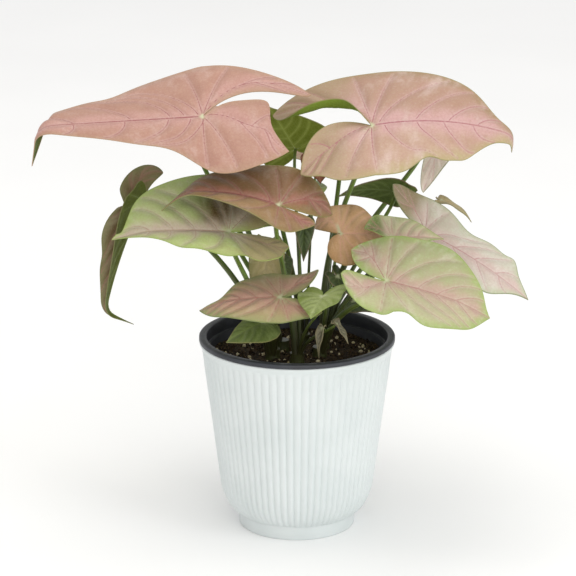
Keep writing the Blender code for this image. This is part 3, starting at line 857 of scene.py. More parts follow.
@dataclass(frozen=True)
class ArrowLeaf:
    """One arrow-shaped leaf. Lengths are in mm and angles in degrees, and a pair is left and right.

    at is where the stalk meets the blade, and shoot names the shoot that bears it. The other
    fields say how the flat arrow is cut, and how it bends, folds, rolls and twists from there.
    Each of swells is (side, share, width, along, out, up): it pushes one half's margin round a
    share of its length, and each of inlets does so with the lobe's inner edge. faces are those
    along and across each half of the blade, quilt is how far it swells between its veins, and
    vein_starts is where side veins leave the midrib.
    """

    node: str
    shoot: str
    look: Look
    at: Place
    length: float
    halves: Pair
    heading: float
    pitch: float
    bank: float = 0.0
    lobes: Pair = (0.5, 0.5)
    spread: Pair = (0.55, 0.55)
    shoulder: Pair = (-0.05, -0.05)
    belly: Pair = (0.4, 0.4)
    sinus: Pair = (0.04, 0.04)
    bow: float = 20.0
    hook: float = 0.0
    hook_at: float = 0.6
    fold: Pair = (8.0, 8.0)
    cup: float = 14.0
    drop: Pair = (12.0, 12.0)
    roll: Pair = (0.0, 0.0)
    lip: Pair = (0.0, 0.0)
    twist: float = 0.0
    ruffle: float = 1.2
    via: Place = (0.0, 0.0, 0.0)
    sharp: Pair = (0.3, 0.3)
    swells: Swells = ()
    inlets: Swells = ()
    faces: tuple[int, int] = (34, 10)
    quilt: float = 1.0
    vein_starts: tuple[float, ...] = (0.07, 0.27, 0.47, 0.67)
    thickness: float = 0.5

    def edges(self, s: Array, side: int) -> tuple[Array, Array]:
        """Gives the inner edge and the margin of one half of the flat blade.

        Args:
            s: Shares from the basal lobe's tip to the leaf's tip.
            side: 1 for the left half and -1 for the right one.

        Returns:
            Rows (along, out) of the inner edge, and of the margin.
        """
        half, tip = of_half(self.halves, side), self.length
        back, nearest = of_half(self.lobes, side) * tip, min(self.lobes) * tip
        sinus, reach = of_half(self.sinus, side) * half, of_half(self.spread, side) * half
        shoulder, belly = of_half(self.shoulder, side) * tip, of_half(self.belly, side)
        sharp = of_half(self.sharp, side)
        lobe_k = np.clip(s / LOBE_SHARE, 0, 1)
        front_k = np.clip((s - LOBE_SHARE) / (1 - LOBE_SHARE), 0, 1)
        lobe_tip, widest = (-back, reach), (shoulder, half)
        rounded_tip = (-0.84 * back, reach + (0.36 - 0.24 * sharp) * half)
        lobe_outer = bezier((lobe_tip, rounded_tip, (shoulder - 0.4 * back, half), widest), lobe_k)
        inside_tip = ((0.3 * sharp - 1) * back, (0.3 + 0.45 * sharp) * reach + 0.5 * min(0, sinus))
        lobe_inner = bezier((lobe_tip, inside_tip, (-0.6 * nearest, sinus), (0, 0)), lobe_k)
        bulge = (shoulder + (0.36 + 0.22 * belly) * tip, half)
        narrowing = ((0.60 + 0.20 * belly) * tip, max(LEAST_BELLY, 0.14 + 0.30 * belly) * half)
        front_outer = bezier((widest, bulge, narrowing, (tip, 0)), front_k)
        front_inner = np.stack([tip * front_k, np.zeros_like(front_k)])
        lobe = s <= LOBE_SHARE
        outer = np.where(lobe, lobe_outer, front_outer)
        for push, along, out, _ in swells_on(self.swells, s, side):
            outer = outer + push * np.array([[along], [out]])
        for push, along, out, _ in swells_on(self.inlets, s, side):
            lobe_inner = lobe_inner + push * np.array([[along], [out]])
        return np.where(lobe, lobe_inner, front_inner), outer

    def spine(self, side: int) -> tuple[Array, Array, Array, Array]:
        """Bends the line that one half hangs on.

        Args:
            side: 1 for the left half and -1 for the right one.

        Returns:
            Its places along the flat blade, forward and up, mm, and its slope, radians.
        """
        back = of_half(self.lobes, side) * self.length
        along = np.linspace(-self.length, self.length, SPINE_POINTS)
        share = along / self.length
        bend = self.hook * smooth((share - self.hook_at) / HOOK_REACH)
        front = np.radians(self.bow * share + bend)
        lobe = np.radians(of_half(self.drop, side)) * np.maximum(along / back, -1)
        slope = np.where(along >= 0, front, lobe)
        step = np.gradient(along)
        forward = np.cumsum(np.cos(slope) * step)
        up = -np.cumsum(np.sin(slope) * step)
        forward -= np.interp(0, along, forward)
        up -= np.interp(0, along, up)
        return along, forward, up, slope

    def pose(self) -> Array:
        """Turns the leaf's own axes (forward, left, up) to the plant's.

        Returns:
            The matrix that does so.
        """
        return np.array(
            Matrix.Rotation(math.radians(self.heading), 3, "Z")
            @ Matrix.Rotation(math.radians(-self.pitch), 3, "Y")
            @ Matrix.Rotation(math.radians(self.bank), 3, "X")
        )

    def flat(self, s: Array, t: Array, side: int) -> tuple[Array, Array, Array]:
        """Finds places on the flat blade.

        Args:
            s: Shares from the basal lobe's tip to the leaf's tip.
            t: Shares from the inner edge to the margin.
            side: 1 for the left half and -1 for the right one.

        Returns:
            Their places along and out, and the strip's width there, mm.
        """
        inner, outer = self.edges(s, side)
        along, out = inner * (1 - t) + outer * t
        return along, out, np.hypot(*(outer - inner))

    def points(self, s: Array, t: Array, side: int) -> Array:
        """Bends the flat blade into its place.

        Args:
            s: Shares from the basal lobe's tip to the leaf's tip.
            t: Shares from the inner edge to the margin.
            side: 1 for the left half and -1 for the right one.

        Returns:
            Rows of x, y, z in the plant's frame, mm.
        """
        inner, outer = self.edges(s, side)
        u, w = inner * (1 - t) + outer * t
        half = of_half(self.halves, side)
        strip = outer[1] - inner[1]
        middle = (outer[1] + inner[1]) / 2
        share = np.clip(u / self.length, 0, 1)
        fold = np.radians(self.fold[0] + (self.fold[1] - self.fold[0]) * share)
        cup = math.radians(self.cup) / half
        roll = math.radians(of_half(self.roll, side)) * (1 - smooth(s / LOBE_SHARE))
        lobe_k = np.clip(s / LOBE_SHARE, 0, 1)
        lip = math.radians(of_half(self.lip, side)) * np.sin(math.pi * lobe_k**2)
        middle_angle = fold - cup * middle
        curl = roll - cup * strip
        outward = np.maximum(t, LIP_SHARE) - 0.5
        inward = np.minimum(t, LIP_SHARE) - LIP_SHARE
        lip_angle = middle_angle + curl * (LIP_SHARE - 0.5)
        arcs = (
            arc(fold, -cup * middle, middle),
            arc(middle_angle, curl * outward, strip * outward),
            arc(lip_angle, (curl + lip / LIP_SHARE) * inward, strip * inward),
        )
        out = sum(part[0] for part in arcs)
        rise = sum(part[1] for part in arcs)
        waves = np.sin(MARGIN_WAVES * math.tau * s + side + self.length)
        rise = rise + self.ruffle * (w / half) ** 2 * waves
        for push, _, _, up in swells_on(self.swells, s, side):
            rise = rise + push * up * t**2
        along, forward, up, slope = self.spine(side)
        x, z, angle = (np.interp(u, along, table) for table in (forward, up, slope))
        twist = np.radians(self.twist) * share
        left = side * out * np.cos(twist) - rise * np.sin(twist)
        normal = side * out * np.sin(twist) + rise * np.cos(twist)
        local = np.stack([x + normal * np.sin(angle), left, z + normal * np.cos(angle)], -1)
        return local @ self.pose().T + np.array(self.at, float)

    def normals(self, s: Array, t: Array, side: int) -> Array:
        """Finds which way the upper face looks, from neighbours that stay off the pointed ends.

        Args:
            s: Shares from the basal lobe's tip to the leaf's tip.
            t: Shares from the inner edge to the margin.
            side: 1 for the left half and -1 for the right one.

        Returns:
            Unit rows that stand on the upper face.
        """
        ahead, beside = 0.004, 0.02
        low_s, high_s = np.clip(s - ahead, 0.01, 0.985), np.clip(s + ahead, 0.015, 0.99)
        low_t, high_t = np.clip(t - beside, 0, 1), np.clip(t + beside, 0, 1)
        middle = np.clip(s, 0.015, 0.985)
        along = self.points(high_s, t, side) - self.points(low_s, t, side)
        across = self.points(middle, high_t, side) - self.points(middle, low_t, side)
        return unit(np.cross(along, across)) * side

    def vein_size(self) -> float:
        """Share of a large leaf's veins, by the leaf's length."""
        return min(1.0, max(0.4, self.length / 100))

    def veins(self, side: int) -> list[tuple[Array, Array, float, bool]]:
        """Plans the side veins of one half, two cross veins and, on a large lobe, its own veins.

        Args:
            side: 1 for the left half and -1 for the right one.

        Returns:
            For each vein its shares along and across the half, its width at the start in mm, and
            whether it is a main one.
        """
        k = np.linspace(0, 1, VEIN_POINTS)
        size = self.vein_size()
        front = 1 - LOBE_SHARE
        planned = []
        starts = self.vein_starts if self.length > SMALL_LEAF else self.vein_starts[:3]
        for i, start in enumerate(starts):
            start += VEINS.stray * math.sin(5 * i + self.length + side)
            s = LOBE_SHARE + front * (start + VEINS.side_sweep * (1 - start) * k**VEINS.side_bend)
            width = VEINS.side_width * size * (1 - 0.4 * start)
            planned.append((s, VEINS.side_reach * k, width, False))
        for end in VEINS.cross_ends:
            s, t = LOBE_SHARE + (end - LOBE_SHARE) * k, VEINS.side_reach * k**VEINS.cross_bend
            planned.append((s, t, VEINS.cross_width * size, False))
        if of_half(self.lobes, side) * self.length > LEAST_LOBE:
            rise = 0.5 * np.sin(np.minimum(1, 1.5 * k) * math.pi / 2)
            s = LOBE_SHARE - VEINS.lobe_reach * k
            planned.append((s, rise, VEINS.lobe_width * size, True))
            for part, far in VEINS.branches:
                start = LOBE_SHARE - VEINS.lobe_reach * part
                base = 0.5 * math.sin(min(1, 1.5 * part) * math.pi / 2)
                s, t = start - VEINS.branch_sweep * k, base + (far - base) * k
                planned.append((s, t, VEINS.branch_width * size, False))
        return planned

    def half_sheet(self, side: int) -> Object:
        """Models one half of the blade, which swells between the veins.

        Args:
            side: 1 for the left half and -1 for the right one.

        Returns:
            An open sheet that faces up.
        """
        rows, columns = self.faces
        knee = round(LOBE_SHARE * rows) / rows

        def stretched(x: Array) -> Array:
            """Puts one row of points just where the stalk meets the blade."""
            return np.interp(x, (0, knee, 1), (0, LOBE_SHARE, 1))

        sheet, x, t = grid_piece(
            f"{self.node}_half", rows, columns, lambda x, t: self.points(stretched(x), t, side)
        )
        s = stretched(x)
        u, w, strip = self.flat(s, t, side)
        vein, main = np.full_like(s, FAR), np.full_like(s, FAR)
        for path_s, path_t, _, chief in self.veins(side):
            at_u, at_w, _ = self.flat(path_s, path_t, side)
            near = np.hypot(u[:, None] - at_u, w[:, None] - at_w).min(axis=1)
            vein = np.minimum(vein, near)
            if chief:
                main = np.minimum(main, near)
        midrib = np.where(u > 0, np.abs(w), np.hypot(u, w))
        vein, main = np.minimum(vein, midrib), np.minimum(main, midrib)
        edge = np.where(s < LOBE_SHARE, np.minimum(t, 1 - t) * strip, (1 - t) * strip)
        edge = np.where(s < LOBE_SHARE, edge, np.minimum(edge, 1.5 + np.hypot(u, w)))
        beside = np.maximum(vein - VEIN_FLOOR, 0) / VEIN_VALLEY
        swell = self.quilt * (1 - np.exp(-(beside**2))) * smooth(edge / SWELL_REACH)
        put_points(sheet, points_of(sheet) + self.normals(s, t, side) * swell[:, None] * MM)
        put_attribute(sheet, "field", (vein, edge, u / self.length))
        put_attribute(sheet, "flat", (u, side * w, main))
        if side < 0:
            edit(sheet, bpy.ops.mesh.flip_normals)
        return sheet

    def vein_ridge(self, s: Array, t: Array, side: int, width: float) -> Object:
        """Models one vein.

        Args:
            s: Its shares from the basal lobe's tip to the leaf's tip.
            t: Its shares from the inner edge to the margin.
            side: 1 for the left half and -1 for the right one.
            width: Half its width at the start, mm.

        Returns:
            A slim lens-shaped ridge that stands out of both faces.
        """
        centres = self.points(s, t, side)
        upward = self.normals(s, t, side)
        across = unit(np.cross(upward, np.gradient(centres, axis=0)))
        k = np.linspace(0, 1, len(s))
        taper = (1 - k) ** VEINS.blunt * np.minimum(1, 12 * (1 - k))
        taper[0] = 0.6
        centres = centres - upward * (VEINS.sunk * width * taper)[:, None]
        widths = VEINS.least_width + width * taper
        heights = self.thickness / 2 + VEINS.proud + 0.5 * width * taper
        widths[-1] = heights[-1] = 0.0
        widths[0] = heights[0] = 0.0
        ridge, ring, turn = swept_tube(
            f"{self.node}_vein", centres, (across, upward), widths, heights, VEINS.sides
        )
        reach = np.hypot(*self.flat(s, t, side)[:2])
        put_attribute(ridge, "field", (reach[ring], 9.0, k[ring]))
        put_attribute(ridge, "flat", (0.0, np.sin(math.tau * turn), 0.0))
        return ridge

    def build(self) -> None:
        """Models the blade with its veins, dressed with its three finishes."""
        upper, lower, veins = leaf_materials(self.look)
        blade = join([self.half_sheet(1), self.half_sheet(-1)])
        edit(blade, weld)
        for material in (upper, lower):
            blade.data.materials.append(material)
        wall = {"thickness": self.thickness * MM, "offset": 0.0, "material_offset": 1}
        finish_with(blade, "SOLIDIFY", wall)
        ridges = []
        for side in (1, -1):
            for s, t, width, _ in self.veins(side):
                ridges.append(self.vein_ridge(s, t, side, width))
        s = np.linspace(LOBE_SHARE, MIDRIB_END, MIDRIB_POINTS)
        width = VEINS.midrib_width * self.vein_size()
        ridges.append(self.vein_ridge(s, np.zeros_like(s), 1, width))
        net = join(ridges)
        edit(net, weld, bpy.ops.mesh.normals_make_consistent)
        net.data.materials.append(veins)
        name = f"blade_{self.node.removeprefix('leaf_')}"
        hand_over(join([blade, net]), name, 40, self.node)


@dataclass(frozen=True)
class Shoot:
    """One shoot: a short crown in the soil with the stalks of its leaves. Sizes in mm."""

    name: str
    at: Pair
    crown_radius: float = 5.6
    crown_top: float = 7.0
    crown_depth: float = 22.0
    stalk_from: float = 3.0
    stalk_out: float = 2.2
    base_radius: float = 2.7
    top_radius: float = 1.5
    top_gap: float = 0.15
    full_leaf: float = 55.0
    slimmest: float = 0.5
    rising_out: float = 0.18
    rising_up: float = 0.45
    arriving_down: float = 0.22
    cap_step: float = 0.05
    crown_taper: float = 0.9
    crown_sides: int = 24
    scars: int = 4
    scar_relief: float = 0.25
    points: int = 30
    rings: int = 17
    sides: int = 14

    def stalk(self, leaf: ArrowLeaf) -> Object:
        """Models a leaf's stalk.

        Args:
            leaf: The leaf that it carries.

        Returns:
            A round stalk that tapers from the crown to the blade.
        """
        k = np.linspace(0, 1, self.points)
        normal = leaf.pose()[:, 2]
        slender = min(1.0, max(self.slimmest, leaf.length / self.full_leaf))
        top_radius = self.top_radius * slender
        top = np.array(leaf.at, float) - normal * self.top_gap
        crown = np.array((*self.at, SOIL_TOP + self.stalk_from))
        toward = top - crown
        flat = toward[:2] / max(1.0, np.hypot(*toward[:2]))
        base = crown + np.array((*(flat * self.stalk_out), 0.0))
        reach = np.linalg.norm(toward)
        via = np.array(leaf.via, float)
        rising = base + np.array((*(toward[:2] * self.rising_out), reach * self.rising_up)) + via
        arriving = top - normal * reach * self.arriving_down + via / 2
        points = bezier((base, rising, arriving, top), k).T
        headings = np.gradient(points, axis=0)
        headings[0], headings[-1] = rising - base, normal
        radii = top_radius + (self.base_radius * slender - top_radius) * (1 - k) ** 3
        radii[0] = radii[-1] = 0.0
        points[1] = points[0] + (points[1] - points[0]) * self.cap_step
        points[-2] = points[-1] + (points[-2] - points[-1]) * self.cap_step
        tube = swept_tube("stalk", points, carried_frame(headings), radii, radii, self.sides)[0]
        edit(tube, weld, bpy.ops.mesh.normals_make_consistent)
        return tube

    def crown(self) -> Object:
        """Models the short thick foot of the shoot, ringed with old leaf scars.

        Returns:
            The foot.
        """
        low, high = SOIL_TOP - self.crown_depth + 1, SOIL_TOP + self.crown_top
        heights = np.linspace(low, high, self.rings)
        heights[0], heights[1] = low, low + 0.2
        heights[-2] = high - 0.3
        k = np.linspace(0, 1, self.rings)
        ringed = self.scar_relief * np.cos(k * math.tau * self.scars)
        radii = (self.crown_radius - self.crown_taper * k) + ringed
        radii[0] = radii[-1] = 0.0
        centres = np.column_stack([np.tile(self.at, (self.rings, 1)), heights])
        axes = np.tile((1.0, 0.0, 0.0), (self.rings, 1)), np.tile((0.0, 1.0, 0.0), (self.rings, 1))
        foot = swept_tube("crown", centres, axes, radii, radii, self.crown_sides)[0]
        edit(foot, weld, bpy.ops.mesh.normals_make_consistent)
        return foot

    def build(self) -> None:
        """Models the crown and all stalks of the shoot as one piece."""
        stalks = [self.stalk(leaf) for leaf in LEAVES if leaf.shoot == self.name]
        piece = join([self.crown(), *stalks])
        piece.data.materials.append(STALK_SKIN.material())
        hand_over(piece, f"stalks_{self.name}", 60, f"shoot_{self.name}")


LEAVES = (
    # Large upper leaves.
    ArrowLeaf(
        "leaf_01", "left_back", Look.SALMON, (-61, -20, 285), 142, (45, 49), 182, -3, -34,
        lobes=(0.38, 0.50), spread=(0.70, 0.3), shoulder=(-0.08, -0.04), belly=(-0.5, 0.6),
        sinus=(-0.7, 0.8), bow=0, hook=80, hook_at=0.66, fold=(0, -12), twist=24, drop=(0, 2),
        roll=(0, 20), sharp=(1.0, 0.3),
        swells=((1, 0.57, 0.10, 0, -11, 0), (1, 0.72, 0.10, 0, -5, 0), (-1, 0.62, 0.05, 0, -5, 0)),
        inlets=((1, 0.19, 0.06, -8, -6, 0),), quilt=1.4, vein_starts=(0.01, 0.06, 0.14, 0.34, 0.6),
        faces=(150, 40),
    ),
    ArrowLeaf(
        "leaf_02", "right_back", Look.ROSE, (48, -20, 279), 110, (48, 43), -6, 12, 34,
        lobes=(0.62, 0.44), spread=(0.7, 0.7), shoulder=(0.02, -0.1), belly=(0.8, 0.4),
        sinus=(0.35, -0.45), bow=48, hook=60, hook_at=0.78, fold=(5, -14), twist=20, drop=(16, 4),
        roll=(20, 90), lip=(180, 0), via=(-13, 22, 0),
        swells=(
            (1, 0.84, 0.11, -4, -7, 0), (-1, 0.20, 0.09, 0, -4, 0), (-1, 0.60, 0.05, 0, -5, 4),
            (-1, 0.74, 0.04, 0, 2, -2), (-1, 0.84, 0.05, 0, -2, 2),
        ),
        quilt=1.3, vein_starts=(0.06, 0.25, 0.43, 0.62), faces=(150, 40),
    ),
    # Middle tier.
    ArrowLeaf(
        "leaf_03", "front", Look.TAUPE, (-12, -50, 234), 86, (29, 32), 176, 20, -25,
        lobes=(0.32, 0.40), shoulder=(-0.1, 0.0), belly=(-0.3, 0.6), bow=44, hook=24, fold=(20, 6),
        twist=20, drop=(-20, 36), via=(0, 12, 0), faces=(90, 26),
    ),
    ArrowLeaf(
        "leaf_04", "left", Look.LIME_BRONZE, (-44, -42, 214), 78, (32, 46), 178, 4, -27,
        lobes=(0.52, 0.45), shoulder=(-0.3, 0.1), belly=(0.0, 1.3), bow=16, hook=10, fold=(16, 14),
        drop=(-10, 6),
        swells=((1, 0.48, 0.05, 0, -3, 2), (1, 0.72, 0.05, 0, 3, -1), (-1, 0.86, 0.08, 0, -11, 0)),
        faces=(90, 28),
    ),
    ArrowLeaf(
        "leaf_05", "left", Look.OLIVE_BRONZE, (-101, 14, 220), 101, (21, 18), 215, -58,
        lobes=(0.1, 0.14), spread=(0.6, 0.8), shoulder=(0.04, 0.12), belly=(0.1, 0.0), bow=22,
        hook=70, hook_at=0.68, fold=(66, 44), cup=0, drop=(0, 90),
        swells=((-1, 0.34, 0.07, 0, -7, 0), (-1, 0.6, 0.06, 0, -2, 0)), faces=(90, 18),
    ),
    ArrowLeaf(
        "leaf_06", "left", Look.ROSE_GREEN, (-11, -58, 175), 54, (22, 30), 182, 1, -20,
        lobes=(0.50, 0.5), shoulder=(0.0, 0.1), belly=(1.4, 0.2), bow=16, hook=14, fold=(-2, 4),
        drop=(6, -50), swells=((-1, 0.8, 0.1, 0, -6, 0),), faces=(80, 22),
    ),
    ArrowLeaf(
        "leaf_07", "right", Look.LIME_ROSE, (57, -62, 187), 71, (34, 40), -16, -8, 25,
        lobes=(0.40, 0.48), shoulder=(0.0, 0.2), belly=(1.4, 1.3), bow=14, hook=10, fold=(20, 8),
        drop=(8, -54),
        swells=(
            (1, 0.55, 0.12, 0, 10, 0), (1, 0.9, 0.08, 0, -3, 0), (-1, 0.43, 0.05, 0, -6, 3),
            (-1, 0.65, 0.13, 0, -5, 0),
        ),
        faces=(90, 28),
    ),
    ArrowLeaf(
        "leaf_08", "right_back", Look.SHELL, (84, 3, 201), 82, (30, 20), -15, -22, 24,
        lobes=(0.44, 0.15), belly=(1.0, 0.5), bow=22, fold=(8, 4), drop=(-34, 10),
        swells=((1, 0.54, 0.08, 0, -9, 0), (1, 0.78, 0.05, 0, 6, 0), (-1, 0.78, 0.11, 0, 9, -1)),
        faces=(84, 22),
    ),
    ArrowLeaf(
        "leaf_09", "right", Look.COPPER, (28, -15, 205), 36, (28, 28), 10, 0, 30, lobes=(0.5, 0.3),
        sharp=(0.8, 0.3), shoulder=(0.2, -0.05), bow=16, fold=(6, 6), drop=(80, 10), faces=(54, 18),
    ),
    ArrowLeaf(
        "leaf_10", "right", Look.LIME_ROLL, (62, -30, 206), 34, (23, 10), 5, 6, 24,
        lobes=(0.5, 0.3), bow=20, drop=(0, 10), roll=(160, 0), faces=(50, 16),
    ),
    # Leaves seen behind and between the others.
    ArrowLeaf(
        "leaf_11", "right_back", Look.BOTTLE, (66, 34, 220), 44, (11, 13), 180, 14, 60,
        lobes=(0.3, 0.3), bow=50, drop=(10, 10),
    ),
    ArrowLeaf(
        "leaf_12", "back", Look.FERN, (-1, 42, 247), 38, (27, 24), -159, 60, 60, lobes=(0.2, 0.2),
        bow=10, faces=(50, 16),
    ),
    ArrowLeaf("leaf_13", "back", Look.RUSSET, (14, 24, 244), 16, (12, 12), -80, -50),
    ArrowLeaf(
        "leaf_14", "right_back", Look.PALE_BACK, (88, 46, 256), 76, (34, 28), 68, 0,
        lobes=(0.3, 0.7), spread=(0.5, 0.4), sinus=(0.1, 0.3), bow=40, drop=(10, 70),
        via=(-10, 14, 0), faces=(70, 20),
    ),
    ArrowLeaf(
        "leaf_15", "right_back", Look.OLIVE, (96, 38, 213), 26, (8, 8), -8, -10, lobes=(0.15, 0.15),
        bow=50,
    ),
    ArrowLeaf(
        "leaf_16", "front", Look.LIME, (16, -66, 178), 21, (14, 17), -115, -24, 6,
        lobes=(0.75, 0.4), spread=(0.9, 0.6), bow=8, faces=(40, 14),
    ),
    ArrowLeaf(
        "leaf_17", "right_back", Look.BOTTLE, (37, 1, 154), 24, (11, 11), -20, -8, 20,
        lobes=(0.2, 0.2),
    ),
    ArrowLeaf(
        "leaf_18", "left", Look.FERN, (-22, -38, 152), 28, (17, 11), 202, -16, -26,
        lobes=(0.25, 0.25), belly=(0.8, 0.6),
    ),
    ArrowLeaf(
        "leaf_19", "right", Look.BOTTLE, (26, -28, 180), 24, (8, 8), -20, -40, 20, lobes=(0.3, 0.3),
    ),
    ArrowLeaf(
        "leaf_20", "front", Look.BOTTLE, (4, -12, 211), 26, (8, 8), -80, -78, lobes=(0.2, 0.2),
        fold=(40, 40),
    ),
    ArrowLeaf(
        "leaf_26", "left", Look.OLIVE, (-20, -7, 187), 30, (12, 12), -100, -68, belly=(1.4, 1.4),
    ),
    ArrowLeaf("leaf_27", "front", Look.BOTTLE, (-10, 2, 180), 14, (8, 8), -60, -50),
    # Rear leaves.
    ArrowLeaf(
        "leaf_21", "left_back", Look.SALMON, (-70, 67, 258), 88, (38, 38), 122, 8, bow=34, hook=20,
        faces=(70, 20),
    ),
    ArrowLeaf(
        "leaf_22", "right_back", Look.ROSE, (30, 80, 238), 84, (38, 38), 75, 0, lobes=(0.36, 0.36),
        bow=34, hook=20, faces=(70, 20),
    ),
    ArrowLeaf(
        "leaf_23", "back", Look.LIME_ROSE, (-14, 66, 214), 80, (34, 34), 98, 0, lobes=(0.3, 0.3),
        bow=30, hook=20, faces=(70, 18),
    ),
    ArrowLeaf(
        "leaf_24", "left_back", Look.LIME_BRONZE, (-44, 54, 190), 66, (33, 33), 116, -4,
        lobes=(0.3, 0.2), bow=26, hook=20, faces=(64, 18),
    ),
    ArrowLeaf(
        "leaf_25", "right_back", Look.TAUPE, (56, 66, 180), 64, (30, 30), 50, -8,
        lobes=(0.25, 0.25), bow=30, hook=20, faces=(64, 18),
    ),
    # Withered leaves low on the shoots.
    ArrowLeaf(
        "withered_leaf_1", "front", Look.WITHERED, (17, -40, 148), 20, (5, 4), -130, -62,
        lobes=(0.1, 0.1), bow=30, fold=(50, 55),
    ),
    ArrowLeaf(
        "withered_leaf_2", "front", Look.WITHERED, (25, -38, 150), 15, (5, 5), -20, -44,
        lobes=(0.25, 0.25), bow=20, fold=(22, 22), cup=0,
    ),
)

SHOOTS = (
    Shoot("left", (-16.0, -8.0)),
    Shoot("front", (0.0, -17.0)),
    Shoot("right", (15.0, -4.0)),
    Shoot("left_back", (-10.0, 11.0)),
    Shoot("back", (4.0, 24.0)),
    Shoot("right_back", (17.0, 16.0)),
)


# Pots


def rounded(corners: tuple, steps: int) -> list[Pair]:
    """Rounds a line off.

    Args:
        corners: Radius and height of each corner, mm.
        steps: Points from one corner to the next.

    Returns:
        Radius and height of points on a smooth line through the corners.
    """
    points = np.array(corners, float)
    points = np.vstack([2 * points[0] - points[1], points, 2 * points[-1] - points[-2]])
    line = []
    for a, b, c, d in zip(points, points[1:], points[2:], points[3:]):
        for k in np.arange(steps) / steps:
            pull = -a + 3 * b - 3 * c + d
            bent = 2 * a - 5 * b + 4 * c - d
            line.append(tuple(0.5 * (2 * b + (c - a) * k + bent * k**2 + pull * k**3)))
    line.append(tuple(points[-2]))
    return line


def turned(profile: list[Pair], steps: int) -> Object:
    """Extrudes and resizes a circle ring by ring into a closed turned body.

    Args:
        profile: Radius and height of each ring, mm, from one flat end to the other.
        steps: Points round each ring.

    Returns:
        The closed body, with its faces outwards.
    """
    clear_selection()
    radius, height = profile[0]
    bpy.ops.mesh.primitive_circle_add(
        vertices=steps, radius=radius * MM, fill_type="NGON", location=(0, 0, height * MM)
    )
    body = bpy.context.object
    bpy.ops.object.transform_apply(location=True, rotation=True, scale=True)
    bpy.ops.object.mode_set(mode="EDIT")
    bpy.ops.mesh.select_all(action="SELECT")
    for (r0, z0), (r1, z1) in zip(profile, profile[1:]):
        bpy.ops.mesh.extrude_edges_move(TRANSFORM_OT_translate={"value": (0, 0, (z1 - z0) * MM)})
        ratio = r1 / r0
        bpy.ops.transform.resize(value=(ratio, ratio, 1), center_override=(0, 0, z1 * MM))
    bpy.ops.mesh.edge_face_add()
    bpy.ops.mesh.select_all(action="SELECT")
    bpy.ops.mesh.normals_make_consistent(inside=False)
    bpy.ops.object.mode_set(mode="OBJECT")
    return body


@dataclass(frozen=True)
class CoverPot:
    """White cover pot: smooth flared collar, 72 fine ribs and a recessed foot. Sizes in mm."""

    ribs: int = 72
    rib_depth: float = 0.95
    rib_top: float = 125.0
    rib_fade: float = 5.0
    rib_low: float = 10.1
    rib_blunt: float = 0.8
    steps_per_rib: int = 8

    def profile(self) -> list[Pair]:
        """Draws the outline from the underside's middle, up the outside, over the lip and inside.

        Returns:
            Radius and height of each ring, mm.
        """
        foot = [(20.0, 0.0), (37.6, 0.0), (38.2, 0.2), (38.5, 0.7), (39.0, 8.6), (39.2, 9.6)]
        bowl = (40.6, 10.2), (44.6, 14.2), (47.4, 18.8), (49.7, 25.0), (51.1, 33.0)
        wall = rounded((*bowl, (56.1, 72.0), (61.1, 110.0)), 5)
        collar = rounded(((61.4, 113.0), (61.7, 116.0), (62.8, 122.5), (64.7, 126.6)), 4)
        lip = [(64.8, 127.2), (64.6, 127.7), (64.2, 128.0)]
        lip += [(63.4, 128.0), (62.9, 127.8), (62.8, 127.2)]
        inside = [(61.0, 122.0), (58.8, 112.0), (48.8, 33.0), (45.2, 20.0)]
        inside += [(36.2, 11.8), (36.2, 3.0), (20.0, 3.0)]
        return foot + wall + collar + lip + inside

    def build(self) -> None:
        """Turns the pot and presses the ribs into the outside of its wall."""
        pot = turned(self.profile(), self.ribs * self.steps_per_rib)
        points = points_of(pot)
        height, radius = points[:, 2] / MM, np.hypot(points[:, 0], points[:, 1]) / MM
        inner = np.interp(height, (10.2, 20.0, 33.0, 112.0, 122.0), (38.0, 45.4, 49.4, 59.6, 61.8))
        wall = (height > self.rib_low) & (radius > inner)
        fade = smooth((self.rib_top - height) / self.rib_fade)
        turn = np.arctan2(points[:, 1], points[:, 0])
        ridge = 2 * np.abs(np.cos(self.ribs / 2 * turn)) ** self.rib_blunt - 1
        swell = 1 + np.where(wall, ridge * fade * self.rib_depth / 2 / radius, 0)
        points[:, :2] *= swell[:, None]
        put_points(pot, points)
        pot.data.materials.append(WHITE_PLASTIC.material())
        hand_over(pot, "cover_pot_shell", 50, "pot_cover")


